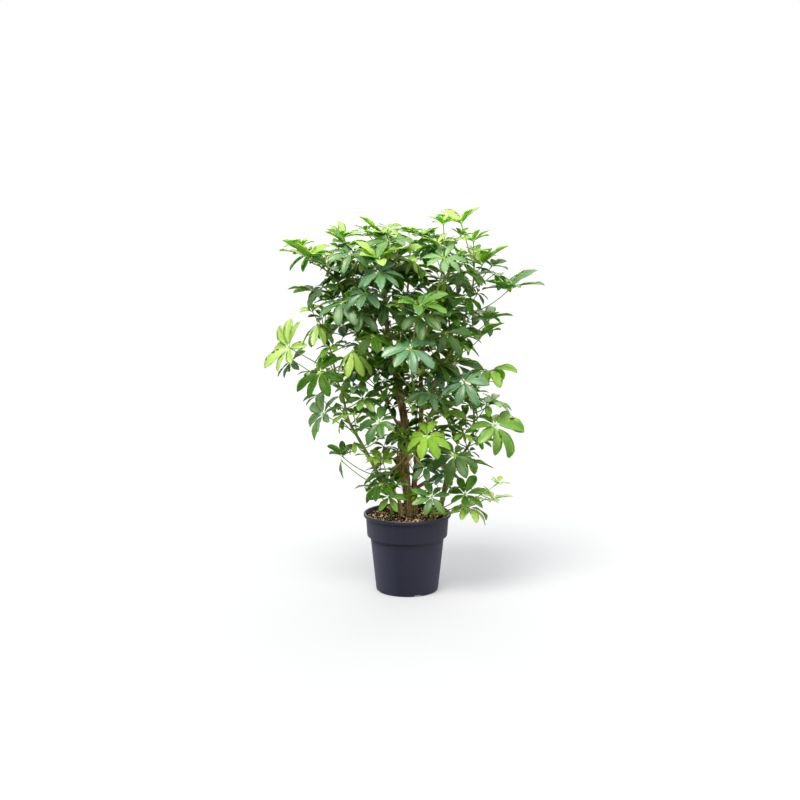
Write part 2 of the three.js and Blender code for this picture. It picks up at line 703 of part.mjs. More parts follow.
/** A leaflet and its share of the hub, with air round them, to find out what they would touch. */
function roomyBlade(leaf, leaflet) {
  const half = 0.55 * leaflet.step;
  const [before, after] = [leaflet.angle - half, leaflet.angle + half].map((angle) => {
    return leafPoint(leaf, HUB_RADIUS + CLEARANCE, angle, 0);
  });
  const outline = [leaf.hub.clone(), before, ...bladeCorners(leaf, leaflet, CLEARANCE), after];
  const positions = slab(outline, leaf.normal, CLEARANCE, BLADE_THICKNESS + CLEARANCE);
  const faces = [[0, 1, 5], [1, 2, 3], [1, 3, 5], [3, 4, 5]];
  return { solid: solidOf(positions, slabCorners(faces, outline.length)), box: boxOf(positions) };
}

/** Petiole from the stem to the hub: straight, or with its middle moved aside by a share of its length. */
function petiole(leaf, aside, allowance) {
  const { foot, hub, side, normal } = leaf;
  const length = foot.distanceTo(hub);
  const middle = foot.clone().lerp(hub, 0.5);
  middle.addScaledVector(normal, -PETIOLE_SAG * length);
  middle.addScaledVector(side, aside * length);
  const end = hub.clone().addScaledVector(normal, -PETIOLE_END);
  const straight = aside === 0 && length < LONG_PETIOLE;
  const points = straight ? [foot, end] : [foot, middle, end];
  const radii = points.map((point, k) => {
    const share = k / (points.length - 1);
    return THREE.MathUtils.lerp(PETIOLE_FOOT_RADIUS, PETIOLE_TIP_RADIUS, share) + allowance;
  });
  const solid = tube(points, radii, PETIOLE_SIDES);
  return { solid, box: boxOf([...foot.toArray(), ...middle.toArray(), ...end.toArray()]) };
}

// ---------------------------------------------------------------- keeping pieces clear of each other

/** Box round flat coordinates, with room for a petiole's thickness. */
function boxOf(positions) {
  const box = new THREE.Box3().setFromArray(positions);
  return box.expandByScalar(PETIOLE_FOOT_RADIUS + 1);
}

const standing = []; // what is in place so far: its node, its leaf, its box and its solid

/** Put a solid among those that later pieces keep clear of. */
function stand(node, leaf, { solid, box }) {
  standing.push({ node, leaf, box, solid });
}

/** Whether a piece touches something of another node, something of its own node, or nothing. */
function touches(piece, node, leaf) {
  let own = false;
  for (const other of standing) {
    const kin = other.node === node;
    const skip = (kin && (other.leaf === leaf || own)) || !other.box.intersectsBox(piece.box);
    if (skip) {
      continue;
    }
    const shared = other.solid.intersect(piece.solid);
    const empty = shared.isEmpty();
    shared.delete();
    if (!empty && !kin) {
      return 'other';
    }
    own = own || !empty;
  }
  return own ? 'own' : 'nothing';
}

/** Petiole bent round whatever stands in its way. */
function placePetiole(leaf, node) {
  for (const aside of [0, 0.06, -0.06, 0.12, -0.12, 0.2, -0.2, 0.3, -0.3]) {
    const roomy = petiole(leaf, aside, CLEARANCE);
    if (touches(roomy, node, leaf) !== 'other') {
      stand(node, leaf, roomy);
      return petiole(leaf, aside, 0).solid;
    }
  }
  return null;
}

/** Leaflet bent up or down, or else left shorter, until it is clear of what stands there. */
function placeLeaflet(leaf, leaflet, node) {
  for (const allowed of ['nothing', 'own']) {
    for (const share of [1, 0.88, 0.75, 0.55, 0.4]) {
      for (const bend of [0, 9, -9, 18, -18, 28, -28, 40]) {
        const bent = { ...leaflet, rise: leaflet.rise + bend, length: leaflet.length * share };
        bent.width = leaflet.width * Math.sqrt(share);
        const roomy = roomyBlade(leaf, bent);
        const found = touches(roomy, node, leaf);
        if (found === 'nothing' || found === allowed) {
          stand(node, leaf, roomy);
          return bent;
        }
      }
    }
  }
  return null;
}

// ---------------------------------------------------------------- assembly

const POT_COLOUR = 0x2d2e39;
const SOIL_COLOUR = 0x4a3423;
const BARK_COLOUR = 0x7a5c3e;
const LEAF_COLOUR = 0x4c8233;
const YOUNG_LEAF_COLOUR = 0x86b03c;

/** Named mesh of a solid. */
function meshOf(name, solid, colour, roughness) {
  const { vertProperties, triVerts } = solid.getMesh();
  const geometry = new THREE.BufferGeometry();
  geometry.setAttribute('position', new THREE.BufferAttribute(vertProperties, 3));
  geometry.setIndex(new THREE.BufferAttribute(triVerts, 1));
  geometry.computeVertexNormals();
  const material = new THREE.MeshStandardMaterial({ color: colour, roughness, metalness: 0 });
  const mesh = new THREE.Mesh(geometry, material);
  mesh.name = name;
  return mesh;
}

/** Box round a solid. */
function boxOfSolid(solid) {
  return boxOf(solid.getMesh().vertProperties);
}

const plant = new THREE.Group();
const inSoil = (stem) => !stem.parent;
const buried = [
  ...TRUNKS.map((trunk) => ({ ...trunk, sides: TRUNK_SIDES })),
  ...SHOOTS.filter(inSoil).map((shoot) => ({ ...shoot, sides: SHOOT_SIDES })),
];
const pot = makePot();
const soil = makeSoil(buried);
stand('pot', null, { solid: pot, box: boxOfSolid(pot) });
stand('soil', null, { solid: soil, box: boxOfSolid(soil) });
plant.add(meshOf('pot', pot, POT_COLOUR, 0.45));
plant.add(meshOf('soil', soil, SOIL_COLOUR, 1));

const trunkRoom = {}; // each trunk with the gap that its shoots leave to it
for (const trunk of TRUNKS) {
  let wood = limb(trunk, TRUNK_SIDES);
  let room = limb(trunk, TRUNK_SIDES, GAP);
  if (trunk.stub) {
    wood = wood.add(limb(trunk.stub, TRUNK_SIDES));
    room = room.add(limb(trunk.stub, TRUNK_SIDES, GAP));
  }
  trunkRoom[trunk.name] = room;
  stand(trunk.name, null, { solid: room, box: boxOfSolid(room) });
  plant.add(meshOf(trunk.name, wood, BARK_COLOUR, 0.9));
}

let leafNumber = 0;
for (const shoot of SHOOTS) {
  shoot.wood = limb(shoot, SHOOT_SIDES);
  if (shoot.parent) {
    shoot.wood = largestBody(shoot.wood.subtract(trunkRoom[shoot.parent]));
  }
  stand(shoot.name, null, { solid: limb(shoot, SHOOT_SIDES, CLEARANCE), box: boxOfSolid(shoot.wood) });
  shoot.leafList = leavesOf(shoot, leafNumber);
  leafNumber += shoot.leafList.length;
}
for (const shoot of SHOOTS) {
  for (const leaf of shoot.leafList) {
    leaf.stalk = placePetiole(leaf, shoot.name);
  }
}
for (const shoot of SHOOTS) {
  let body = shoot.wood;
  for (const leaf of shoot.leafList.filter(({ stalk }) => stalk)) {
    leaf.leaflets = leaf.leaflets.map((leaflet) => placeLeaflet(leaf, leaflet, shoot.name)).filter(Boolean);
    if (leaf.leaflets.length >= FEWEST_LEAFLETS) {
      body = body.add(leaf.stalk).add(makeStar(leaf));
    }
  }
  if (shoot.parent) {
    body = body.subtract(trunkRoom[shoot.parent]);
  }
  const young = shoot.leafList.filter(({ age }) => age === YOUNG).length;
  const colour = young * 2 > shoot.leafList.length ? YOUNG_LEAF_COLOUR : LEAF_COLOUR;
  plant.add(meshOf(shoot.name, largestBody(body), colour, 0.4));
}

export default plant;
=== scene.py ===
"""Potted umbrella plant: leafy stems with palmate leaves, woody trunks, granular soil and a nursery pot.

Sizes in the plan are millimetres and become metres in the meshes. +Z is up and the seen side faces -Y.
"""

import math
from collections import namedtuple
from functools import partial

import bpy
import numpy as np
from bpy.props import FloatProperty, FloatVectorProperty, PointerProperty
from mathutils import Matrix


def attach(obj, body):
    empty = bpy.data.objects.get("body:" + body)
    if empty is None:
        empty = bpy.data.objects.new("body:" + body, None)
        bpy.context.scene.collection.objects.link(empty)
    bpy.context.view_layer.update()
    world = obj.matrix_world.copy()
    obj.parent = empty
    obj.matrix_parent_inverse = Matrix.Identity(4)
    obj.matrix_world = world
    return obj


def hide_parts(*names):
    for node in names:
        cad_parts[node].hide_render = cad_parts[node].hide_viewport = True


bl_info = {
    "name": "Potted umbrella plant",
    "version": (1, 0, 0),
    "blender": (4, 5, 0),
    "location": "3D View > Sidebar > Umbrella plant",
    "description": "Builds an umbrella plant with its soil and its nursery pot",
    "category": "Object",
}

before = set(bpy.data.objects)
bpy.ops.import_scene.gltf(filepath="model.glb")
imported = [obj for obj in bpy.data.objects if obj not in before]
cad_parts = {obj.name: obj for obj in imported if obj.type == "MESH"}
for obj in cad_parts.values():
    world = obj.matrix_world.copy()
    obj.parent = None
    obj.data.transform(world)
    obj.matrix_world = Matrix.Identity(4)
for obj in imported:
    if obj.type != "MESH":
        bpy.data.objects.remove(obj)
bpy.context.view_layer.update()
MM = 0.001  # millimetres to metres

# The ages of a leaf: rise of its leaflets at the hub, how far they curl down to the tip, and lean of the
# whole leaf away from its stem, in degrees; then its colour's place from fresh (0) to old (1).
Age = namedtuple("Age", "rise curl lean tone")
YOUNG = Age(38, 34, 10, 0.04)
FRESH = Age(20, 36, 14, 0.1)
CUPPED = Age(48, 30, 8, 0.68)
RISEN = Age(34, 36, 14, 0.6)
GROWN = Age(18, 40, 18, 0.42)
OLD = Age(6, 40, 26, 0.78)
ARCHED = Age(12, 66, 16, 0.22)
LIMP = Age(-40, 26, 10, 0.1)
HANGING = Age(-72, 14, 10, 0.7)

LEAFLETS = 8
LARGE_REACH = 84  # leaves that reach this far have every leaflet, ...
REACH_STEP = 18  # ... and there is one fewer for each such step of reach below it
GOLDEN_ANGLE = 137.5  # degrees from one leaf of a stem to the next
PETIOLE_SLOPE = 0.6  # rise over run
PETIOLE_RUN = 0.85  # run over length of a petiole in a spiral
PETIOLE_SAG = 0.08  # sag at mid length over length
PETIOLE_SHARES = (1.1, 0.25)  # length over the rule's length at the stem's foot, and what it loses to the top
PETIOLE_FIRST = 1.1  # first place along a stem's guide points where a planned leaf may grow, ...
PETIOLE_LAST = 1.05  # ... and the last one, back from the count of guide points
SHORT_WEIGHT = 0.3  # how much a short petiole counts beside one of the usual slope
SOIL_TOP = 203
SOIL_SWELL = 4  # loose crumbs stand this much over the firm soil
BURIED = SOIL_TOP - 28  # lower end of the stems that stand in the soil

# Small new leaves along every stem, by rule.
SPRIG_SPACING = 24  # mm of stem from one to the next
SPRIG_PETIOLE = 60
SPRIG_WAY = (0.7, 0.72)  # out and up over the petiole's length
SPRIG_REACH = 47
SPRIG_UNEVEN = 0.3  # share of their size
SPRIG_SPAN = (0.16, 0.99)  # shares of the stem between which they grow
SPRIG_YOUNG = 0.88  # share from which all are young
SPRIG_AGES = [GROWN, RISEN, FRESH, OLD, LIMP]
SPRIG_TURN = 57  # degrees from the first one of a stem to the first one of the next
FIRST_SPRIG = 1000  # their numbers start here
SPRIG_NUMBERS = 40  # numbers for each stem

# A leaflet: how its outline and its stalk are drawn.
BLADE_ROWS = np.array([0.0, 0.1, 0.17, 0.27, 0.4, 0.55, 0.7, 0.83, 0.93, 1.0])
SIDE_STEPS = 4  # steps from one edge of a blade to the other
STALK_SHARE = 0.1  # the leaflet's own stalk, as a share of its length
STALK_RADIUS = 0.95
STALK_THICK = 1.5
STALK_TAPER = 0.35  # share of the radius that it loses to the blade
BLADE_BASE = 0.85  # how the blade widens from its stalk: the power of the share
BLADE_TIP = 0.7  # how it narrows to its tip: the power of what is left
BLADE_FOLD = (0.32, 1.3)  # rise of the edge over the half width, and the power of the way out to it
STALK_END = 0.9  # share where the midrib ends
LEAST_HALF = 0.15  # half width at the tip, so that it isn't sharp
TIP_THIN = 0.3  # share of the thickness that is lost to the tip, ...
EDGE_THIN = 0.75  # ... and of its square to the edge
LEAFLET_TURN = 0.96  # share of the full turn round the hub that the leaflets fill
BACKWARD_LOSS = 0.32  # how much shorter the leaflets over the petiole are
EDGE_WAVE = 0.1  # height of the waves of an edge over its distance from the midrib
EDGE_WAVES = 2.2  # waves along a leaflet
WAVE_PHASES = 6.28  # radians over which leaflets differ in where their waves start
PETIOLE_SIDES = 6

# A leafy stem.
STEM_SIDES = 12
SCAR_SPACING = 19  # mm from one leaf scar to the next
SCAR_HEIGHT = 0.35
THICK_STEM = 4  # radius at the foot above which a stem is a thick one
STEM_WOODY = (0.8, 1.3)  # how woody a thin and a thick stem are at the foot, where 1 is all bark, ...
WOODY_LOSS = 2.6  # ... and what both lose to the top

# How uneven the leaflets of a leaf are, at most.
UNEVEN_ANGLE = 0.13  # radians round the hub
UNEVEN_LENGTH = 0.08  # share of the length
UNEVEN_RISE = 13  # degrees
UNEVEN_CURL = 0.35  # share of the curl
UNEVEN_ROLL = 0.32  # height over width from one edge to the other
UNEVEN_SWAY = 0.09  # sideways bend of the midrib over its length
UNEVEN_TWIST = 0.5  # roll that is added from base to tip
UNEVEN_TONE = 0.17  # of a whole leaf

# Leaves inside the plant get painted shade, a darker tone, and those in the open painted light, a paler one; inside
# they also carry less wax, so less shine and less painted blue sheen.
OPEN_RADIUS = 260  # mm from the middle and ...
OPEN_HEIGHT = (820, 1020)  # ... heights over which a leaf comes into the open
OPEN_SHARE = 0.6  # how much of the openness is the distance from the middle
OPEN_TONE = 0.55  # openness at which a leaf has its age's own tone
# Painted shade and painted light, added to a leaf's tone:
INNER_SHADE = 0.3  # tone for each unit of openness below that ...
OUTER_LIGHT = 0.15  # ... and at most so many units above it
OLDEST_TONE = 0.8

# Lumps with eight corners: the corners of a box and its faces.
BOX_CORNERS = np.array([(a, b, c) for c in (-1, 1) for b in (-1, 1) for a in (-1, 1)], dtype=float)
BOX_QUADS = np.array([(0, 2, 3, 1), (4, 5, 7, 6), (0, 1, 5, 4), (2, 6, 7, 3), (0, 4, 6, 2), (1, 3, 7, 5)])

# Bark ridges: how many round the stem, how far they drift along it, their phase per seed and their height.
RIDGES = ((7, 2.1, 1, 1.0), (11, -3.4, 2, 0.8), (17, 5.0, 0, 0.5))

# Turned outlines: radius, height and, on the pot, the rounding of the corner. The pot's outline goes up its
# outside, over the lip and down its inside, and the lip's corners are measured from the rim's radius and height.
POT_FLOOR = 3.0
POT_OUTSIDE = [
    (0, 0, 0), (85.0, 0, 7), (100.6, 143.6, 0.5), (99.5, 144.6, 0.3), (99.6, 146.2, 0.3), (100.9, 147.0, 0.5),
    (101.4, 151.6, 2.5), (110.0, 153.4, 3.4),
]
POT_LIP = [(-6.2, -11.2, 2), (0, -10.4, 3.6), (0, 0, 3), (-5.2, 0, 2.4), (-8.7, -13, 4)]
POT_INSIDE = [(107.5, 158.5, 3), (98.9, 153, 3), (82.6, POT_FLOOR, 6), (0, POT_FLOOR, 0)]
SOIL_FLOOR = 3.4
SOIL_WALL = [(76, SOIL_FLOOR), (82.2, 9), (98.2, 151.5), (106.8, 159.5), (110.3, 202)]
SOIL_RADIUS = 110.0
SOIL_MOUND = 1.6  # how much higher the soil is in the middle
SOIL_RIPPLE = 1.6
CRUMB_RADIUS = 107.5  # edge of the disc that the crumbs lie on
CRUMBS = 3400
PERLITE_GRAINS = 640
AERIAL_ROOTS = 40
POT_SIDES = 144
SOIL_SIDES = 180
SOIL_RINGS = 44
LAMPS = (  # name, place, width of the sun in degrees and strength
    ("key", (-0.7, -1.6, 3.4), 34, 5.2),
    ("fill", (2.8, -2.4, 1.6), 50, 0.9),
    ("back", (0.5, 2.6, 3.0), 60, 1.2),
)
LAMP_TARGET = (0, 0, 0.55)
FLOOR_SIDE = 40.0

# Woody stems from their buried end upwards: guide points and radii.
TRUNKS = {
    "trunk_main": {
        "guides": [
            (2, 0, BURIED), (2, 0, 235), (-2, 0, 285), (-9, 0, 340), (-10, 0, 385), (-9, 0, 430), (-8, 0, 465),
            (-15, 0, 515), (-24, 0, 565), (-37, 0, 635), (-50, 0, 700), (-58, 0, 755), (-63, 0, 815),
        ],
        "radii": [12, 11.5, 12, 15.5, 12.5, 11, 11, 11, 10.5, 9.5, 7.5, 6, 5],
        "stub": {"guides": [(-8, 0, 326), (-22, -3, 352), (-34, -5, 371)], "radii": [9, 9, 8]},
    },
    "trunk_second": {
        "guides": [
            (21, 14, BURIED), (21, 14, 235), (19, 12, 292), (27, 10, 356), (32, 0, 419), (37, -20, 492),
            (37, -30, 562), (34, -30, 640),
        ],
        "radii": [9, 8.8, 8.2, 7.8, 7.2, 6.6, 6, 5],
        "stub": {"guides": [(20, 12, 280), (46, 2, 298), (72, -7, 313), (82, -10, 321)], "radii": [5, 5.5, 6, 7.5]},
    },
    "trunk_right": {
        "guides": [(92, -20, BURIED), (92, -20, 228), (98, -20, 270), (106, -20, 312), (109, -20, 326)],
        "radii": [7.5, 7.5, 7, 6.5, 4.5],
    },
}

# Leafy stems: guide points and radii; leaves as x, y, z of the hub, age, reach of the longest leaflet and the
# leaf's own lean and the bearing it leans to in degrees from +X; leaves by rule in a spiral, from one share of
# the stem to another; and small leaves as x, y, z, age, reach and count of leaflets.
SHOOTS = {
    "shoot_left": {
        "guides": [
            (-17, -22, BURIED), (-17, -22, 235), (-36, -22, 279), (-74, -25, 319), (-107, -30, 384), (-139, -35, 442),
            (-160, -35, 483), (-176, -30, 554), (-190, -25, 588), (-203, -20, 653), (-216, -20, 696),
            (-227, -20, 737),
        ],
        "radii": [5.2, 5, 4.8, 4.5, 4.2, 3.8, 3.4, 3, 2.6, 2.1, 1.9, 1.8],
        "leaves": [
            (-315, -60, 680, FRESH, 98, 62, -138), (-310, -10, 640, OLD, 72, 50, -160),
            (-230, -110, 620, OLD, 92, 45, -130), (-145, -110, 680, LIMP, 92, 20, -120),
            (-245, 20, 540, OLD, 56, 30, -160), (-225, -60, 500, GROWN, 84, 55, -145),
            (-180, 10, 475, LIMP, 44, 20, 180), (-175, -60, 565, LIMP, 46, 30, -150),
            (-120, -70, 545, GROWN, 68, 42, -75), (-175, -60, 385, CUPPED, 62, 14, -60),
            (-240, -60, 745, LIMP, 82, 10, 180), (-80, -30, 425, YOUNG, 36, 20, -90),
        ],
        "small": [
            (-176, -135, 390, HANGING, 62, 1), (-112, -46, 387, FRESH, 36, 4), (-125, -51, 461, GROWN, 46, 5),
            (-162, -39, 690, GROWN, 48, 5), (-228, -38, 757, RISEN, 50, 5), (-256, -43, 613, GROWN, 46, 5),
        ],
    },
    "shoot_upper_left": {
        "guides": [
            (-46, 0, 684), (-96, 0, 716), (-150, 0, 743), (-166, 0, 775), (-173, 0, 821), (-189, 0, 853),
            (-216, -5, 880), (-240, -12, 898),
        ],
        "radii": [4.5, 4, 3.6, 3.2, 2.8, 2.4, 2, 1.8],
        "leaves": [
            (-265, -40, 915, YOUNG, 98, 3, 0), (-210, -60, 890, RISEN, 80, 10, -90),
            (-175, 40, 965, YOUNG, 76, 10, -60), (-250, 10, 825, OLD, 82, 8, 0), (-170, -100, 805, OLD, 90, 30, -120),
            (-175, -40, 765, OLD, 84, 24, -160), (-110, -120, 830, OLD, 80, 28, -90),
            (-185, -30, 850, CUPPED, 58, 10, -60), (-100, -90, 745, LIMP, 50, 25, -90),
        ],
        "spiral": {"from": 0.3, "to": 0.95, "count": 4, "petiole": 75, "age": OLD, "reach": 82, "bearing": 70},
    },
    "shoot_crown_left": {
        "guides": [(-57, 0, 742), (-106, -15, 798), (-143, -30, 858), (-156, -42, 912)],
        "radii": [3.8, 3, 2.4, 1.8],
        "leaves": [
            (-160, -40, 945, RISEN, 84, 12, 0), (-75, -140, 885, OLD, 84, 26, -100),
            (-110, -60, 640, GROWN, 66, 32, -90), (-90, -130, 720, OLD, 80, 28, -80),
            (-120, -110, 775, OLD, 70, 28, -95),
        ],
        "spiral": {"from": 0.2, "to": 0.9, "count": 3, "petiole": 80, "age": OLD, "reach": 84, "bearing": 0},
    },
    "shoot_crown": {
        "guides": [(-62, 0, 800), (-60, 0, 840), (-55, -2, 872), (-52, -6, 900), (-57, -14, 932)],
        "radii": [4.5, 3.4, 2.8, 2.2, 1.8],
        "leaves": [
            (-70, -20, 970, YOUNG, 88, 12, 0), (-75, -110, 915, YOUNG, 98, 18, -90),
            (-25, -60, 920, YOUNG, 82, 16, -70), (-40, -50, 870, OLD, 80, 26, -70), (-50, -90, 795, OLD, 84, 28, -80),
        ],
        "spiral": {"from": 0.3, "to": 0.95, "count": 3, "petiole": 85, "age": GROWN, "reach": 86, "bearing": 0},
        "small": [(-52, -32, 994, FRESH, 46, 6), (-110, -32, 988, YOUNG, 40, 5)],
    },
    "shoot_crown_right": {
        "guides": [
            (34, -30, 632), (45, -26, 680), (55, -20, 723), (66, -20, 770), (76, -20, 817), (93, -18, 880),
            (102, -12, 930),
        ],
        "radii": [4.8, 4, 3.6, 3.2, 2.8, 2.2, 1.8],
        "leaves": [
            (40, 20, 970, RISEN, 76, 8, 180), (95, -30, 1005, YOUNG, 58, 6, 180), (95, 0, 945, RISEN, 76, 22, -90),
            (95, -110, 920, GROWN, 76, 36, -85), (15, -60, 910, LIMP, 46, 10, 180), (25, -20, 875, OLD, 70, 22, -90),
            (95, -80, 765, RISEN, 64, 20, -90), (100, -110, 725, OLD, 80, 30, -80),
        ],
        "spiral": {"from": 0.3, "to": 0.95, "count": 4, "petiole": 85, "age": OLD, "reach": 84, "bearing": 60},
    },
    "shoot_upper_right": {
        "guides": [
            (37, -26, 540), (62, -12, 560), (83, -5, 599), (107, 0, 645), (137, 0, 702), (155, 0, 754), (168, 0, 802),
            (176, -5, 843), (178, -25, 900),
        ],
        "radii": [5, 4.6, 4.4, 4, 3.5, 3, 2.6, 2.2, 1.8],
        "leaves": [
            (145, 20, 1005, YOUNG, 88, 12, 180), (175, -40, 960, YOUNG, 68, 6, 180),
            (200, 0, 895, YOUNG, 104, 10, 180), (270, -20, 830, RISEN, 108, 6, 180),
            (150, -60, 815, OLD, 80, 20, -60), (220, 10, 745, RISEN, 84, 6, 180), (195, -50, 705, RISEN, 86, 8, 180),
            (135, -70, 690, ARCHED, 58, 16, 0),
        ],
        "spiral": {"from": 0.3, "to": 0.85, "count": 3, "petiole": 80, "age": OLD, "reach": 80, "bearing": 100},
        "small": [(145, -37, 925, GROWN, 36, 5)],
    },
    "shoot_right": {
        "guides": [
            (103, -20, 298), (122, -20, 334), (143, -20, 373), (166, -12, 405), (180, 0, 442), (182, 8, 487),
            (174, 10, 528), (164, 5, 571),
        ],
        "radii": [4.2, 3.8, 3.6, 3.3, 3, 2.6, 2.2, 1.8],
        "leaves": [
            (125, -120, 400, OLD, 88, 40, -90), (150, -100, 595, OLD, 86, 40, -90),
            (90, -60, 535, GROWN, 64, 28, -40), (225, 0, 610, ARCHED, 86, 8, 180),
            (175, -20, 540, ARCHED, 58, 20, 20), (235, -60, 470, ARCHED, 110, 44, -60),
            (160, 40, 475, GROWN, 62, 20, -60), (150, -40, 450, LIMP, 40, 10, 0), (165, -30, 360, GROWN, 76, 20, 0),
            (235, -10, 255, YOUNG, 66, 20, 0),
        ],
        "spiral": {"from": 0.3, "to": 0.95, "count": 4, "petiole": 70, "age": GROWN, "reach": 74, "bearing": 60},
        "small": [(123, -37, 432, FRESH, 48, 5), (197, -30, 425, FRESH, 46, 5), (170, -12, 518, FRESH, 40, 5)],
    },
    "shoot_front": {
        "guides": [
            (37, -24, 512), (24, -70, 540), (14, -105, 590), (10, -122, 650), (15, -128, 710), (22, -128, 755),
        ],
        "radii": [4, 3.4, 3, 2.6, 2.2, 1.8],
        "leaves": [
            (5, -200, 695, OLD, 92, 30, -90), (30, -170, 800, RISEN, 96, 18, -90),
            (-25, -110, 660, OLD, 74, 26, -110), (55, -130, 570, OLD, 74, 36, -60),
            (20, -120, 540, YOUNG, 42, 50, -90), (-55, -80, 575, OLD, 64, 30, -120),
            (-75, -60, 615, OLD, 66, 24, -110), (0, -60, 580, OLD, 62, 26, -80), (75, -80, 625, OLD, 76, 28, -70),
            (105, -60, 510, GROWN, 72, 24, -60),
        ],
        "spiral": {"from": 0.45, "to": 0.95, "count": 3, "petiole": 75, "age": OLD, "reach": 84, "bearing": 10},
        "small": [(44, -70, 554, OLD, 42, 5)],
    },
    "shoot_front_low": {
        "guides": [(-10, 0, 388), (-4, -40, 402), (5, -75, 418), (8, -95, 442)],
        "radii": [3.4, 2.8, 2.3, 1.8],
        "leaves": [
            (50, -170, 460, ARCHED, 86, 40, -90), (-75, -120, 490, OLD, 78, 36, -110),
            (-10, -90, 445, OLD, 56, 30, -90), (45, -110, 365, OLD, 54, 34, -80),
        ],
    },
    "shoot_base_left": {
        "guides": [(-42, -34, BURIED), (-42, -34, 225), (-46, -40, 262), (-52, -48, 300), (-56, -54, 335)],
        "radii": [3.2, 3, 2.6, 2.2, 1.8],
        "leaves": [
            (-65, -70, 370, YOUNG, 60, 35, -110), (-70, -90, 315, OLD, 72, 30, -120),
            (-50, -90, 280, GROWN, 62, 42, -100),
        ],
    },
    "shoot_base_right": {
        "guides": [
            (66, -62, BURIED), (66, -62, 225), (76, -64, 250), (92, -64, 268), (106, -62, 292), (112, -60, 320),
        ],
        "radii": [3.2, 3, 2.8, 2.5, 2.2, 1.8],
        "leaves": [
            (155, -80, 285, GROWN, 78, 36, -90), (65, -110, 285, GROWN, 68, 48, -90),
            (165, -70, 245, ARCHED, 84, 14, -60),
        ],
        "small": [(241, -79, 314, YOUNG, 40, 5), (206, -80, 270, GROWN, 46, 5)],
    },
    "shoot_back_left": {
        "guides": [
            (-9, 0, 432), (-40, 50, 480), (-80, 95, 560), (-108, 120, 640), (-120, 125, 720), (-125, 120, 800),
            (-128, 110, 870),
        ],
        "radii": [4.5, 4, 3.6, 3.2, 2.8, 2.3, 1.8],
        "leaves": [(-95, 40, 480, GROWN, 68, 20, 90)],
        "spiral": {"from": 0.2, "to": 0.98, "count": 9, "petiole": 90, "age": OLD, "reach": 94, "bearing": 20},
        "small": [(-39, 22, 510, OLD, 44, 5), (-67, 64, 573, OLD, 44, 5)],
    },
    "shoot_back_right": {
        "guides": [
            (32, 0, 422), (60, 50, 470), (92, 90, 550), (112, 110, 630), (118, 120, 710), (110, 120, 790),
            (100, 110, 860),
        ],
        "radii": [4.5, 4, 3.6, 3.2, 2.8, 2.3, 1.8],
        "leaves": [],
        "spiral": {"from": 0.2, "to": 0.98, "count": 9, "petiole": 90, "age": OLD, "reach": 94, "bearing": 20},
        "small": [(92, 22, 482, FRESH, 44, 5)],
    },
    "shoot_back": {
        "guides": [(-28, 0, 590), (-20, 45, 650), (-10, 80, 730), (0, 95, 810), (5, 95, 880), (8, 85, 930)],
        "radii": [4, 3.6, 3.2, 2.8, 2.3, 1.8],
        "leaves": [],
        "spiral": {"from": 0.2, "to": 0.98, "count": 7, "petiole": 90, "age": OLD, "reach": 92, "bearing": 60},
    },
    "shoot_back_low": {
        "guides": [(10, 52, BURIED), (10, 52, 225), (20, 75, 290), (25, 95, 360), (25, 100, 430), (28, 100, 500)],
        "radii": [3.8, 3.6, 3.2, 2.8, 2.3, 1.8],
        "leaves": [],
        "spiral": {"from": 0.35, "to": 0.98, "count": 6, "petiole": 80, "age": OLD, "reach": 88, "bearing": 190},
        "small": [(11, 82, 495, OLD, 40, 5), (63, 79, 434, GROWN, 44, 5)],
    },
}


# ---------------------------------------------------------------- settings


def linear(hex_value):
    """Linear colour with full alpha of an sRGB hex value."""
    parts = [int(hex_value[k : k + 2], 16) / 255 for k in (1, 3, 5)]
    return (*(c / 12.92 if c <= 0.04045 else ((c + 0.055) / 1.055) ** 2.4 for c in parts), 1.0)


def opaque(colour):
    """Setting's colour with full alpha."""
    return (*colour, 1.0)


def colour_setting(name, description, hex_value):
    """Colour setting with an sRGB hex default."""
    return FloatVectorProperty(
        name=name, description=description, subtype="COLOR", size=3, min=0, max=1, default=linear(hex_value)[:3]
    )


def length_setting(name, description, default):
    """Length setting with its default in metres."""
    return FloatProperty(name=name, description=description, default=default, unit="LENGTH")


class PotSettings(bpy.types.PropertyGroup):
    """Sizes and colours of the nursery pot."""

    rim_radius: length_setting("Rim radius", "Outer radius of the lip", 0.12)
    height: length_setting("Height", "Floor to lip", 0.218)
    colour: colour_setting("Plastic", "Colour of the moulded plastic", "#12152A")
    flow: colour_setting("Flow marks", "Paler streaks of the moulding", "#1D2035")
    # Painted sheen: paler colour painted where the plastic turns away, in place of its reflection at grazing angles.
    painted_edge_sheen: colour_setting("Sheen", "Colour that the plastic takes where it turns away", "#4C5272")


class SoilSettings(bpy.types.PropertyGroup):
    """Grain size and colours of the potting mix."""

    grain: length_setting("Grain", "Mean size of a crumb", 0.0031)
    dark: colour_setting("Dark crumbs", "Moist peat", "#211008")
    brown: colour_setting("Brown crumbs", "Bark and dry peat", "#56300F")
    light: colour_setting("Light crumbs", "Dry coir", "#E3C595")
    perlite: colour_setting("Perlite", "White volcanic grains", "#F1E2BE")


class BarkSettings(bpy.types.PropertyGroup):
    """Relief and colours of the bark."""

    ridge: length_setting("Ridge", "Height of the bark's ridges", 0.0009)
    dark: colour_setting("Furrows", "Colour between the ridges", "#311E0E")
    light: colour_setting("Ridges", "Colour of the weathered ridges", "#DCC594")


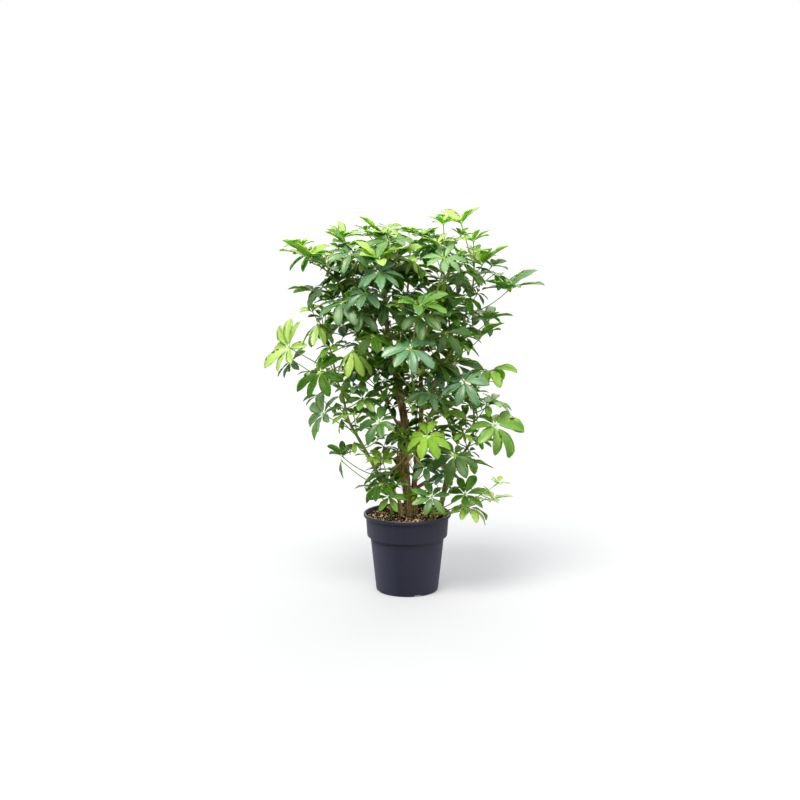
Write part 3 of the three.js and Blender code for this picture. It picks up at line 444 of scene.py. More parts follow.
class LeafSettings(bpy.types.PropertyGroup):
    """Shape and colours of the leaves."""

    thickness: length_setting("Thickness", "Of the blade", 0.0007)
    shape: FloatProperty(name="Width over length", description="Of a leaflet", default=0.37, min=0.1, max=0.6)
    young: colour_setting("Young leaf", "Fresh leaf near a tip", "#85AB48")
    grown: colour_setting("Grown leaf", "Leaf of this season", "#4C7C12")
    old: colour_setting("Old leaf", "Dark leaf low on a stem", "#1B4208")
    # Painted sheen: the blue-green painted on old leaves in the open, in place of the sky's reflection on their wax.
    painted_blue_sheen: colour_setting("Waxed leaf", "Old leaf with a blue wax bloom", "#4C8068")
    stalk: colour_setting("Leaf stalk", "Petiole and leaflet stalks", "#93B044")


# ---------------------------------------------------------------- meshes


def grid_quads(rows, columns):
    """Corner indices of the quads between rings of points, each joined to the next."""
    row = np.arange(rows - 1)[:, None] * columns
    left = np.arange(columns)[None, :]
    right = (left + 1) % columns
    return np.stack([row + left, row + right, row + columns + right, row + columns + left], axis=-1).reshape(-1, 4)


def make_piece(name, points, faces, material, replaces=(), uv=None, values=None, smooth=True):
    """New object of points in metres and faces, as arrays of corners, that rides on the plant's one body.

    uv holds a pair per point, and values maps an attribute's name to one number per point.
    """
    mesh = bpy.data.meshes.new(name)
    mesh.from_pydata(points.tolist(), [], [list(face) for block in faces for face in np.asarray(block).tolist()])
    mesh.update()
    if uv is not None:
        corners = np.empty(len(mesh.loops), dtype=np.int32)
        mesh.loops.foreach_get("vertex_index", corners)
        mesh.uv_layers.new(name="UVMap").data.foreach_set("uv", np.asarray(uv, dtype=np.float32)[corners].ravel())
    for key, numbers in (values or {}).items():
        layer = mesh.attributes.new(key, "FLOAT", "POINT")
        layer.data.foreach_set("value", np.asarray(numbers, dtype=np.float32).ravel())
    mesh.polygons.foreach_set("use_smooth", np.full(len(mesh.polygons), smooth))
    mesh.materials.append(material)
    piece = bpy.data.objects.new(name, mesh)
    bpy.context.scene.collection.objects.link(piece)
    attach(piece, "root")
    if replaces:
        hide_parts(*replaces)
    return piece


def spread(leaf, key):
    """Even, repeatable values in -1..1: the fraction of leaf x 0.618034 + key x 0.754878, stretched."""
    value = np.asarray(leaf) * 0.618034 + np.asarray(key) * 0.754878
    return (value - np.floor(value)) * 2 - 1


def varied(number, key, middle, most):
    """A middle value plus or minus at most so much, by the even spread."""
    return middle + most * float(spread(number, key))


def value_noise(points, cell, seed):
    """Smooth noise in -1..1: random values on a lattice of cells, blended with a cubic step between them."""
    lattice = np.random.default_rng(seed).uniform(-1, 1, (32, 32, 32))
    place = points / cell
    base = np.floor(place).astype(int)
    step = place - base
    step = step * step * (3 - 2 * step)
    total = np.zeros(points.shape[:-1])
    for corner in np.ndindex(2, 2, 2):
        index = (base + corner) % 32
        share = np.prod(np.where(np.array(corner) == 1, step, 1 - step), axis=-1)
        total += share * lattice[index[..., 0], index[..., 1], index[..., 2]]
    return total


def unit(vectors):
    """Vectors scaled to length 1."""
    return vectors / np.linalg.norm(vectors, axis=-1, keepdims=True)


def path_length(points):
    """Length of the straight legs between points."""
    return np.sum(np.linalg.norm(np.diff(np.array(points, dtype=float), axis=0), axis=1))


def smooth_path(guides, places):
    """Points on the curve through guide points at given places, where 1.5 is halfway from the 2nd to the 3rd.

    Each span is a cubic with the slopes half the way from one neighbour to the other (Catmull and Rom).
    """
    guides = np.asarray(guides, dtype=float)
    ends = np.vstack([2 * guides[0] - guides[1], guides, 2 * guides[-1] - guides[-2]])
    leg = np.clip(np.floor(places).astype(int), 0, len(guides) - 2)
    t = (np.asarray(places) - leg)[:, None]
    p0, p1, p2, p3 = ends[leg], ends[leg + 1], ends[leg + 2], ends[leg + 3]
    return 0.5 * (
        2 * p1 + (p2 - p0) * t + (2 * p0 - 5 * p1 + 4 * p2 - p3) * t**2 + (3 * p1 - p0 - 3 * p2 + p3) * t**3
    )


def path_frames(path):
    """Unit vectors across and beside a path: the first is carried along and kept square to the path."""
    along = unit(np.gradient(path, axis=0))
    across = np.empty_like(path)
    current = np.array([1.0, 0.0, 0.0])
    for k, way in enumerate(along):
        current = current - way * current.dot(way)
        current /= np.linalg.norm(current)
        across[k] = current
    return across, np.cross(along, across)


def round_tube(path, radii, sides):
    """Rings round a path: centre + radius x (cos a across + sin a beside), for each angle a.

    The radii are one for each ring, or one for each point of each ring.
    """
    radii = np.asarray(radii)
    if radii.ndim == 1:
        radii = radii[:, None]
    across, beside = path_frames(path)
    angles = np.linspace(0, 2 * np.pi, sides, endpoint=False)
    ring = np.cos(angles)[None, :, None] * across[:, None] + np.sin(angles)[None, :, None] * beside[:, None]
    return path[:, None] + radii[..., None] * ring


def tube_faces(rows, sides):
    """Quads of a tube of rings and the two caps that close it."""
    start = np.arange(sides)[None, ::-1]
    return [grid_quads(rows, sides), start, start[:, ::-1] + (rows - 1) * sides]


def turned_surface(profile, sides):
    """A profile of radius and height pairs turned round the Z axis: radius x (cos a, sin a), height."""
    profile = np.asarray(profile, dtype=float)
    angles = np.linspace(0, 2 * np.pi, sides, endpoint=False)
    x = profile[:, :1] * np.cos(angles)
    y = profile[:, :1] * np.sin(angles)
    return np.stack([x, y, np.repeat(profile[:, 1:], sides, axis=1)], axis=-1)


def closed_turn(rings, low, high):
    """Points and faces of rings round the Z axis, closed by fans to a point on it at each end's height."""
    rows, sides = rings.shape[:2]
    points = np.vstack([rings.reshape(-1, 3), [[0, 0, low], [0, 0, high]]])
    around = np.arange(sides)
    following = (around + 1) % sides
    last = (rows - 1) * sides
    start = np.stack([np.full(sides, rows * sides), following, around], axis=-1)
    end = np.stack([np.full(sides, rows * sides + 1), last + around, last + following], axis=-1)
    return points, [grid_quads(rows, sides), start, end]


def rounded_profile(corners, steps=5):
    """Outline of radius, height and rounding: each corner becomes an arc between its two tangent points.

    The arc is drawn as a quadratic curve with the corner as its control point, cut back along both edges by
    the rounding.
    """
    points = []
    places = np.array([corner[:2] for corner in corners], dtype=float)
    for k, here in enumerate(places):
        rounding = corners[k][2]
        if rounding == 0:
            points.append(here)
            continue
        start, end = (here + unit(near - here) * rounding for near in (places[k - 1], places[k + 1]))
        t = np.linspace(0, 1, steps)[:, None]
        points.extend((1 - t) ** 2 * start + 2 * t * (1 - t) * here + t**2 * end)
    return np.array(points)


def joined(parts):
    """One set of points, faces and values from several closed shells."""
    points, faces, values = [], [], {}
    first = 0
    for part_points, part_faces, part_values in parts:
        points.append(part_points)
        faces.extend([block + first for block in part_faces])
        for key, numbers in part_values.items():
            values.setdefault(key, []).append(numbers)
        first += len(part_points)
    return np.concatenate(points), faces, {key: np.concatenate(numbers) for key, numbers in values.items()}


# ---------------------------------------------------------------- the plant's leaves


def polyline_point(guides, place):
    """Point at a place along straight legs between guide points."""
    leg = min(int(place), len(guides) - 2)
    start, end = np.array(guides[leg : leg + 2], dtype=float)
    return start + (end - start) * (place - leg)


def bearing_vector(degrees):
    """Level unit vector at a bearing in degrees from +X."""
    return np.array([math.cos(math.radians(degrees)), math.sin(math.radians(degrees)), 0.0])


def planned_leaf(guides, hub, age, reach, **more):
    """Leaf of the plan, from the place on its stem where the way up to its hub is most like a usual petiole."""
    hub = np.array(hub, dtype=float)
    places = np.arange(PETIOLE_FIRST, len(guides) - PETIOLE_LAST + 1e-9, 0.1)
    feet = np.array([polyline_point(guides, place) for place in places])
    run = np.hypot(*(hub - feet).T[:2])
    cost = np.abs(hub[2] - feet[:, 2] - PETIOLE_SLOPE * run) + SHORT_WEIGHT * np.linalg.norm(hub - feet, axis=1)
    return {"hub": hub, "place": places[np.argmin(cost)], "age": age, "reach": reach, **more}


def leaves_of(shoot, first_number):
    """Leaves of a shoot's plan and of its spiral, where each is a golden angle round the stem from the last."""
    guides = shoot["guides"]
    leaves = [
        planned_leaf(guides, (x, y, z), age, reach, facing=(lean, bearing))
        for x, y, z, age, reach, lean, bearing in shoot["leaves"]
    ]
    rule = shoot.get("spiral")
    for k in range(rule["count"] if rule else 0):
        share = rule["from"] + (rule["to"] - rule["from"]) * k / (rule["count"] - 1)
        place = share * (len(guides) - 1)
        length = rule["petiole"] * (PETIOLE_SHARES[0] - PETIOLE_SHARES[1] * share)
        way = bearing_vector(rule["bearing"] + GOLDEN_ANGLE * k)
        hub = polyline_point(guides, place) + length * PETIOLE_RUN * (way + np.array([0, 0, PETIOLE_SLOPE]))
        leaves.append({"hub": hub, "place": place, "age": rule["age"], "reach": rule["reach"]})
    return set_leaves(leaves, guides, first_number)


def sprigs_of(shoot, seed):
    """Small new leaves of a shoot, evenly up its stem, each a golden angle further round and partly unfolded."""
    guides = shoot["guides"]
    first, last = SPRIG_SPAN
    count = int(path_length(guides) * (1 - first) / SPRIG_SPACING)
    sprigs = []
    for k in range(count):
        share = first + (last - first) * (k + 1) / count
        size = varied(seed, k + 80, 1, SPRIG_UNEVEN)
        way = SPRIG_WAY[0] * bearing_vector(GOLDEN_ANGLE * k + SPRIG_TURN * seed) + np.array([0, 0, SPRIG_WAY[1]])
        place = share * (len(guides) - 1)
        hub = polyline_point(guides, place) + SPRIG_PETIOLE * size * way
        age = YOUNG if share > SPRIG_YOUNG else SPRIG_AGES[k % len(SPRIG_AGES)]
        sprigs.append({"hub": hub, "place": place, "age": age, "reach": SPRIG_REACH * size})
    for x, y, z, age, reach, leaflets in shoot.get("small", []):
        sprigs.append(planned_leaf(guides, (x, y, z), age, reach, count=leaflets))
    return set_leaves(sprigs, guides, FIRST_SPRIG + SPRIG_NUMBERS * seed)


def set_leaves(leaves, guides, first_number):
    """Add to each leaf its number, its foot on the stem, its count of leaflets and its three directions."""
    for k, leaf in enumerate(leaves):
        away = leaf["hub"] - polyline_point(guides, leaf["place"])
        lean, bearing = leaf.get("facing") or (leaf["age"].lean, math.degrees(math.atan2(away[1], away[0])))
        lean = math.radians(lean)
        normal = np.array([0, 0, math.cos(lean)]) + bearing_vector(bearing) * math.sin(lean)
        # Openness: how far out from the middle and how high the leaf is; it sets the painted shade and light of its
        # tone, its painted blue sheen and its wax.
        out = min(1.0, math.hypot(*leaf["hub"][:2]) / OPEN_RADIUS)
        up = np.clip((leaf["hub"][2] - OPEN_HEIGHT[0]) / (OPEN_HEIGHT[1] - OPEN_HEIGHT[0]), 0, 1)
        leaf["open"] = out * OPEN_SHARE + up * (1 - OPEN_SHARE)
        leaf["number"] = first_number + k
        leaf.setdefault("count", LEAFLETS - max(0, math.ceil((LARGE_REACH - leaf["reach"]) / REACH_STEP)))
        leaf["foot"] = smooth_path(guides, np.array([leaf["place"]]))[0]
        leaf["normal"] = normal
        leaf["out"] = unit(away - normal * away.dot(normal))
        leaf["side"] = np.cross(normal, leaf["out"])
    return leaves


def leaflet_table(leaves, shape):
    """Arrays over all leaflets of some leaves: where each starts, its three directions and its numbers."""
    blocks = []
    for leaf in leaves:
        count, number, age = leaf["count"], leaf["number"], leaf["age"]
        key = np.arange(count)
        step = LEAFLET_TURN * 2 * np.pi / count
        angle = (key - (count - 1) / 2) * step
        backward = (np.abs(angle) / np.pi) ** 1.5
        # Painted shade for leaves inside the plant and painted light for those in the open.
        shade = INNER_SHADE * max(-OUTER_LIGHT, OPEN_TONE - leaf["open"])
        tone = age.tone + shade + UNEVEN_TONE * spread(number, 3)
        blocks.append({
            **{name: np.tile(leaf[name], (count, 1)) for name in ("hub", "normal", "out", "side")},
            "angle": angle + UNEVEN_ANGLE * spread(number, key + 20),
            "length": leaf["reach"] * (1 - BACKWARD_LOSS * backward)
            * (1 - UNEVEN_LENGTH + UNEVEN_LENGTH * spread(number, key)),
            "rise": np.radians(age.rise + UNEVEN_RISE * spread(number, key + 40)),
            "curl": np.radians(age.curl * (1 + UNEVEN_CURL * spread(number, key + 50))),
            "roll": UNEVEN_ROLL * spread(number, key + 60),
            "sway": UNEVEN_SWAY * spread(number, key + 70),
            "twist": UNEVEN_TWIST * spread(number, key + 90),
            "tone": np.full(count, float(np.clip(tone, 0, OLDEST_TONE))),
            # Openness times a random share: it sets the painted blue sheen and how much the wax shines.
            "wax_and_painted_sheen": np.full(count, leaf["open"] * varied(number, 5, 0.5, 0.5)),
            "number": np.full(count, float(number)),
            "key": key.astype(float),
        })
    table = {name: np.concatenate([block[name] for block in blocks]) for name in blocks[0]}
    table["width"] = table["length"] * shape
    return table


def blade_half_width(share):
    """Half width over full width along a leaflet: t^base x (1 - t)^tip past its stalk, scaled to 0.5 at most."""
    t = np.clip((share - STALK_SHARE) / (1 - STALK_SHARE), 0, 1)
    peak = BLADE_BASE / (BLADE_BASE + BLADE_TIP)
    widest = peak**BLADE_BASE * (1 - peak) ** BLADE_TIP
    return 0.5 * t**BLADE_BASE * (1 - t) ** BLADE_TIP / widest


def leaflet_shells(table, thickness):
    """Closed thin shells of all leaflets at once, as points, faces, UV and values.

    The midrib is an arc that starts at the leaflet's rise and turns down by its curl. Across it, each row of
    points goes over the top from one edge to the other and back below it, so a row is a flat closed ring. Both
    halves rise from the midrib by a fold, and their edges wave with a sine along the leaflet. The midrib sways
    to one side with the square of the way along it, and the blade twists in proportion to it.
    """
    over = np.linspace(-1, 1, SIDE_STEPS + 1)
    u = np.concatenate([over, over[-2:0:-1]])  # across the blade, there and back
    top = np.concatenate([[0], np.ones(SIDE_STEPS - 1), [0], -np.ones(SIDE_STEPS - 1)])
    s = BLADE_ROWS
    column = {key: numbers[:, None] for key, numbers in table.items()}  # leaflets down, rows across
    length, rise, curl, angle = (column[key] for key in ("length", "rise", "curl", "angle"))
    slope = rise - curl * s
    reach = length * (np.sin(rise) - np.sin(slope)) / curl
    height = length * (np.cos(slope) - np.cos(rise)) / curl
    away = (np.cos(angle) * table["out"] + np.sin(angle) * table["side"])[:, None]
    beside = (-np.sin(angle) * table["out"] + np.cos(angle) * table["side"])[:, None]
    sway = column["sway"] * length * s**2
    middle = (
        column["hub"] + away * reach[..., None] + beside * sway[..., None] + column["normal"] * height[..., None]
    )
    blade_up = column["normal"] * np.cos(slope)[..., None] - away * np.sin(slope)[..., None]
    stalk = STALK_RADIUS * (1 - STALK_TAPER * np.clip(s / STALK_SHARE, 0, 1)) * (s < STALK_END)
    half = np.maximum(blade_half_width(s) * column["width"], stalk + LEAST_HALF)[..., None]
    phase = WAVE_PHASES * spread(table["number"], table["key"] + 7)[:, None]
    wave = EDGE_WAVE * np.sin(2 * np.pi * EDGE_WAVES * s + phase)[..., None] * np.sign(u) * u**2
    roll = column["roll"] + column["twist"] * s
    fold = BLADE_FOLD[0] * np.abs(u) ** BLADE_FOLD[1] + roll[..., None] * u
    thick = np.where(s < STALK_SHARE, STALK_THICK, thickness / MM * (1 - TIP_THIN * s))
    skin = 0.5 * thick[None, :, None] * top * np.sqrt(np.clip(1 - EDGE_THIN * u**2, 0, 1))
    points = (
        middle[:, :, None]
        + beside[:, None] * (half * u)[..., None]
        + blade_up[:, :, None] * (half * (fold + wave) + skin)[..., None]
    )
    shape = points.shape[:3]
    count, rows, sides = shape
    base = np.arange(count)[:, None, None] * rows * sides
    faces = [(block[None, :, ::-1] + base).reshape(-1, block.shape[1]) for block in tube_faces(rows, sides)]
    uv = np.stack([np.broadcast_to((u + 1) / 2, shape), np.broadcast_to(s[None, :, None], shape)], axis=-1)
    kinds = {
        # The age holds the age's own tone with the painted shade and painted light added.
        "age": column["tone"][..., None],
        "hue": spread(table["number"] * 3.1, table["key"] + 11)[:, None, None],
        "wax_and_painted_sheen": column["wax_and_painted_sheen"][..., None],
        "under": (1 - top) / 2,
    }
    values = {key: np.broadcast_to(numbers, shape).reshape(-1) for key, numbers in kinds.items()}
    return points.reshape(-1, 3) * MM, faces, uv.reshape(-1, 2), values


def petiole_shell(leaf):
    """Leaf stalk: a tube along a quadratic curve from the stem to the hub, swollen at both ends.

    The radius narrows evenly to the hub, and a bell curve at each end adds the swelling.
    """
    foot, hub = leaf["foot"], leaf["hub"]
    middle = (foot + hub) / 2 - leaf["normal"] * 2 * PETIOLE_SAG * np.linalg.norm(hub - foot)
    t = np.concatenate([[0, 0.04], np.linspace(0.1, 0.94, 7), [0.985, 1.01]])
    curve = (1 - t[:, None]) ** 2 * foot + 2 * (t * (1 - t))[:, None] * middle + t[:, None] ** 2 * hub
    radii = 1.2 + 0.6 * (1 - t) + 1.3 * np.exp(-t / 0.04) + 1.5 * np.exp(-((1 - t) ** 2) / 0.0006)
    radii[-1] = 1.0
    radii *= 0.85 + 0.15 * leaf["reach"] / 85
    points = round_tube(curve, radii, PETIOLE_SIDES).reshape(-1, 3) * MM
    values = {"woody": np.zeros(len(points)), "fresh": np.full(len(points), 1 - 0.4 * leaf["age"].tone)}
    return points, tube_faces(len(t), PETIOLE_SIDES), values


def stem_shell(shoot):
    """Leafy stem: a tapering tube with a raised ring where each leaf grew, browner low down."""
    guides, radii = shoot["guides"], shoot["radii"]
    legs = len(guides) - 1
    places = np.linspace(0, legs, legs * 10 + 1)
    path = smooth_path(guides, places)
    travelled = np.concatenate([[0], np.cumsum(np.linalg.norm(np.diff(path, axis=0), axis=1))])
    scar = np.exp(-((((travelled + SCAR_SPACING / 2 - 0.5) % SCAR_SPACING) - SCAR_SPACING / 2) ** 2) / 3.0)
    radius = np.interp(places, np.arange(len(radii)), radii) + SCAR_HEIGHT * scar
    points = round_tube(path, radius, STEM_SIDES).reshape(-1, 3)
    share = travelled / travelled[-1]
    woody = np.clip(STEM_WOODY[radii[0] > THICK_STEM] - WOODY_LOSS * share, 0, 1)
    values = {"woody": np.repeat(woody, STEM_SIDES), "fresh": np.repeat(share, STEM_SIDES)}
    return points * MM, tube_faces(len(places), STEM_SIDES), values


# ---------------------------------------------------------------- materials


def add_node(tree, kind, inputs=None, output=None, stops=(), **settings):
    """New shader node with its settings; an input is a value or a socket to link, and stops fill a colour ramp.

    It returns the named output, or the node if none is named.
    """
    node = tree.nodes.new("ShaderNode" + kind)
    for key, value in settings.items():
        setattr(node, key, value)
    if stops:
        elements = node.color_ramp.elements
        while len(elements) < len(stops):
            elements.new(0.5)
        for element, (place, colour) in zip(elements, stops):
            element.position, element.color = place, colour
    for key, value in (inputs or {}).items():
        if isinstance(value, bpy.types.NodeSocket):
            tree.links.new(value, node.inputs[key])
        else:
            node.inputs[key].default_value = value
    return node.outputs[output] if output else node


def node_maker(owner):
    """Empty the node tree of a material or a world, and return the function that adds a node to it."""
    owner.use_nodes = True
    owner.node_tree.nodes.clear()
    return partial(add_node, owner.node_tree)


def new_material(name):
    """New material with no nodes, and the function that adds a node to it."""
    material = bpy.data.materials.new(name)
    return material, node_maker(material)


def surfaced(material, inputs):
    """The material with its surface shader, which has these inputs."""
    shader = add_node(material.node_tree, "BsdfPrincipled", inputs, "BSDF")
    add_node(material.node_tree, "OutputMaterial", {"Surface": shader})
    return material


def cells(size):
    """Scale of a pattern whose cells are a size in millimetres."""
    return 1 / (size * MM)


def halfway(first, second):
    """Colour halfway between two linear ones."""
    return tuple((a + b) / 2 for a, b in zip(first, second))


def pot_plastic(settings):
    """Injection-moulded polypropylene: dark slate blue, satin, with a painted paler sheen where it turns away, faint
    flow marks and scuffs.
    """
    material, add = new_material("polypropylene_injection_moulded")
    where = add("TexCoord", output="Object")
    drawn = add("Mapping", {"Vector": where, "Scale": (1, 1, 0.12)}, "Vector")
    flow = add("TexNoise", {"Vector": drawn, "Scale": cells(38.5), "Detail": 4}, "Fac")
    scuffs = add("TexNoise", {"Vector": where, "Scale": cells(7.14), "Detail": 3}, "Fac")
    marked = add("ValToRGB", {"Fac": flow}, "Color", [(0.3, opaque(settings.colour)), (0.75, opaque(settings.flow))])
    # Painted sheen: the colour goes paler where the surface turns away from the view, in place of the reflection at
    # grazing angles.
    facing = add("LayerWeight", {"Blend": 0.35}, "Facing")
    painted_sheen_mix = {"Factor": facing, "A": marked, "B": opaque(settings.painted_edge_sheen)}
    rough = {"Value": scuffs, "From Min": 0.3, "From Max": 0.7, "To Min": 0.36, "To Max": 0.5}
    return surfaced(material, {
        "Base Color": add("Mix", painted_sheen_mix, "Result", data_type="RGBA"),
        "Roughness": add("MapRange", rough, "Result"),
        "Normal": add("Bump", {"Height": scuffs, "Strength": 0.05, "Distance": 0.0004}, "Normal"),
        "IOR": 1.49,
        "Specular IOR Level": 0.4,
    })


def crumb_material(name, dark, light, roughness, middle=None):
    """Loose dry matter, broken and sieved: dull, with its tone from crumb to crumb and grain inside each."""
    material, add = new_material(name)
    where = add("TexCoord", output="Object")
    tone = add("Attribute", output="Fac", attribute_name="tone")
    grain = add("TexNoise", {"Vector": where, "Scale": cells(1.43), "Detail": 4}, "Fac")
    mixed = add("Math", {0: grain, 1: 0.45, 2: tone}, "Value", operation="MULTIPLY_ADD")
    stops = [(0.3, dark), (0.72, middle or halfway(dark, light)), (1.0, light)]
    return surfaced(material, {
        "Base Color": add("ValToRGB", {"Fac": mixed}, "Color", stops),
        "Normal": add("Bump", {"Height": grain, "Strength": 0.6, "Distance": 0.0006}, "Normal"),
        "Roughness": roughness,
        "Specular IOR Level": 0.25,
    })


def bark_material(settings):
    """Weathered bark of a shrub: grey-tan ridges over brown furrows in streaks, reddish and mossy in patches."""
    material, add = new_material("shrub_bark_weathered")
    where = add("TexCoord", output="Object")
    drawn = add("Mapping", {"Vector": where, "Scale": (1, 1, 0.16)}, "Vector")
    streak = add("TexNoise", {"Vector": drawn, "Scale": cells(5.26), "Detail": 6, "Roughness": 0.62}, "Fac")
    cloud = add("TexNoise", {"Vector": where, "Scale": cells(31.25), "Detail": 3}, "Fac")
    damp = add("TexNoise", {"Vector": where, "Scale": cells(58.8), "Detail": 4}, "Fac")
    patch = add("MapRange", {"Value": cloud, "From Min": 0.4, "From Max": 0.62}, "Result")
    algae = add("MapRange", {"Value": damp, "From Min": 0.48, "From Max": 0.66, "To Max": 0.45}, "Result")
    ridge = add("Attribute", output="Fac", attribute_name="ridge")
    height = add("Math", {0: streak, 1: 0.9, 2: ridge}, "Value", operation="MULTIPLY_ADD")
    dark, light = opaque(settings.dark), opaque(settings.light)
    grey = add("ValToRGB", {"Fac": height}, "Color", [(0.22, dark), (0.5, halfway(dark, light)), (0.82, light)])
    reddish = {"Factor": patch, "A": grey, "B": linear("#B48460")}
    red = add("Mix", reddish, "Result", data_type="RGBA", blend_type="MULTIPLY")
    return surfaced(material, {
        "Base Color": add("Mix", {"Factor": algae, "A": red, "B": linear("#6E7434")}, "Result", data_type="RGBA"),
        "Normal": add("Bump", {"Height": height, "Strength": 0.7, "Distance": 0.0012}, "Normal"),
        "Roughness": 0.85,
        "Specular IOR Level": 0.3,
    })


def stem_material(leaf, bark):
    """Living stem skin: smooth pale green leaf stalks and young stems, with brown bark low down."""
    material, add = new_material("stem_skin_green")
    where = add("TexCoord", output="Object")
    woody = add("Attribute", output="Fac", attribute_name="woody")
    fresh = add("Attribute", output="Fac", attribute_name="fresh")
    speckle = add("TexNoise", {"Vector": where, "Scale": cells(2.38), "Detail": 4}, "Fac")
    green = add("ValToRGB", {"Fac": fresh}, "Color", [(0.0, linear("#4B6B2A")), (1.0, opaque(leaf.stalk))])
    brown = add("ValToRGB", {"Fac": speckle}, "Color", [(0.3, opaque(bark.dark)), (0.7, opaque(bark.light))])
    factor = add("MapRange", {"Value": woody, "From Min": 0.25, "From Max": 0.75}, "Result")
    return surfaced(material, {
        "Base Color": add("Mix", {"Factor": factor, "A": green, "B": brown}, "Result", data_type="RGBA"),
        "Normal": add("Bump", {"Height": speckle, "Strength": 0.3, "Distance": 0.0005}, "Normal"),
        "Roughness": 0.45,
    })


def leaf_material(leaf):
    """Waxy leaf blade: yellow-green when fresh, dark green when old, painted blue sheen, pale rib and veins, paler
    underside.
    """
    material, add = new_material("leaf_blade_waxy")
    where = add("TexCoord")
    age, hue, under, wax_and_painted_sheen = (
        add("Attribute", output="Fac", attribute_name=name) for name in ("age", "hue", "under", "wax_and_painted_sheen")
    )
    uv = add("SeparateXYZ", {"Vector": where.outputs["UV"]})
    blotch = add("TexNoise", {"Vector": where.outputs["Object"], "Scale": cells(11.1), "Detail": 3}, "Fac")
    # The age attribute carries painted shade inside the plant and painted light in the open, besides the age's own
    # tone.
    shade = add("Math", {0: blotch, 1: 0.13, 2: age}, "Value", operation="MULTIPLY_ADD")
    shifted = add("Math", {0: hue, 1: 0.08, 2: shade}, "Value", operation="MULTIPLY_ADD")
    stops = [(0.1, opaque(leaf.young)), (0.5, opaque(leaf.grown)), (0.86, opaque(leaf.old))]
    green = add("ValToRGB", {"Fac": shifted}, "Color", stops)
    # Painted sheen: old leaves in the open are painted blue-green in cloudy patches, in place of the sky's reflection
    # on their wax.
    painted_blue_sheen = add("MapRange", {"Value": wax_and_painted_sheen, "From Min": 0.12, "From Max": 0.5}, "Result")
    painted_sheen_share = add("Math", {0: painted_blue_sheen, 1: shade}, "Value", operation="MULTIPLY", use_clamp=True)
    blade = add("Mix", {"Factor": painted_sheen_share, "A": green, "B": opaque(leaf.painted_blue_sheen)}, "Result", data_type="RGBA")
    # Distance from the midrib, 0 at the rib and 1 at the edge.
    centred = add("Math", {0: uv.outputs["X"], 1: 2.0, 2: -1.0}, "Value", operation="MULTIPLY_ADD")
    side = add("Math", {0: centred}, "Value", operation="ABSOLUTE")
    rib = add("MapRange", {"Value": side, "From Max": 0.09, "To Min": 1.0, "To Max": 0.0}, "Result")
    # Side veins leave the rib every 14th of the length and run forward towards the edge.
    along = add("Math", {0: side, 1: -0.12, 2: uv.outputs["Y"]}, "Value", operation="MULTIPLY_ADD")
    turns = add("Math", {0: along, 1: 2 * math.pi * 14}, "Value", operation="MULTIPLY")
    ripple = add("Math", {0: turns}, "Value", operation="SINE")
    vein = add("MapRange", {"Value": ripple, "From Min": 0.75, "To Max": 0.35}, "Result")
    lines = add("Math", {0: rib, 1: vein}, "Value", operation="MAXIMUM")
    faint = add("Math", {0: lines, 1: 0.15}, "Value", operation="MULTIPLY")
    stalk_ends = {"From Min": STALK_SHARE - 0.02, "From Max": STALK_SHARE + 0.06, "To Min": 1.0, "To Max": 0.0}
    stalk = add("MapRange", {"Value": uv.outputs["Y"], **stalk_ends}, "Result")
    pale = add("Math", {0: faint, 1: stalk}, "Value", operation="MAXIMUM", use_clamp=True)
    backed = add("Math", {0: under, 1: 0.35}, "Value", operation="MULTIPLY")
    underside = add("Mix", {"Factor": backed, "A": blade, "B": linear("#86A046")}, "Result", data_type="RGBA")
    # The wax shines most on the upper face of leaves in the open.
    shine = add("MapRange", {"Value": wax_and_painted_sheen, "From Max": 0.5, "To Min": 0.08, "To Max": 1.0}, "Result")
    return surfaced(material, {
        "Base Color": add("Mix", {"Factor": pale, "A": underside, "B": opaque(leaf.stalk)}, "Result", data_type="RGBA"),
        "Normal": add("Bump", {"Height": lines, "Strength": 0.35, "Distance": 0.0008}, "Normal", invert=True),
        "Roughness": add("MapRange", {"Value": under, "To Min": 0.4, "To Max": 0.6}, "Result"),
        "Specular IOR Level": add("MapRange", {"Value": under, "To Min": shine, "To Max": 0.05}, "Result"),
        "Subsurface Weight": 0.55,
        "Subsurface Radius": (0.45, 1.0, 0.08),
        "Subsurface Scale": 0.003,
    })


# ---------------------------------------------------------------- pot


class UMBRELLA_OT_pot(bpy.types.Operator):
    """Nursery pot with its collar, rounded step, flared lip and drain slots"""

    bl_idname = "umbrella.pot"
    bl_label = "Pot"

    def execute(self, context):
        settings = context.scene.umbrella_pot
        rim, top = settings.rim_radius / MM, settings.height / MM
        lip = [(rim + out, top + up, rounding) for out, up, rounding in POT_LIP]
        profile = rounded_profile(POT_OUTSIDE + lip + POT_INSIDE)
        points, faces = closed_turn(turned_surface(profile[1:-1], POT_SIDES), 0, POT_FLOOR)
        pot = make_piece("nursery_pot", points * MM, faces, pot_plastic(settings), ["pot"])
        cut_slots(pot)
        return {"FINISHED"}


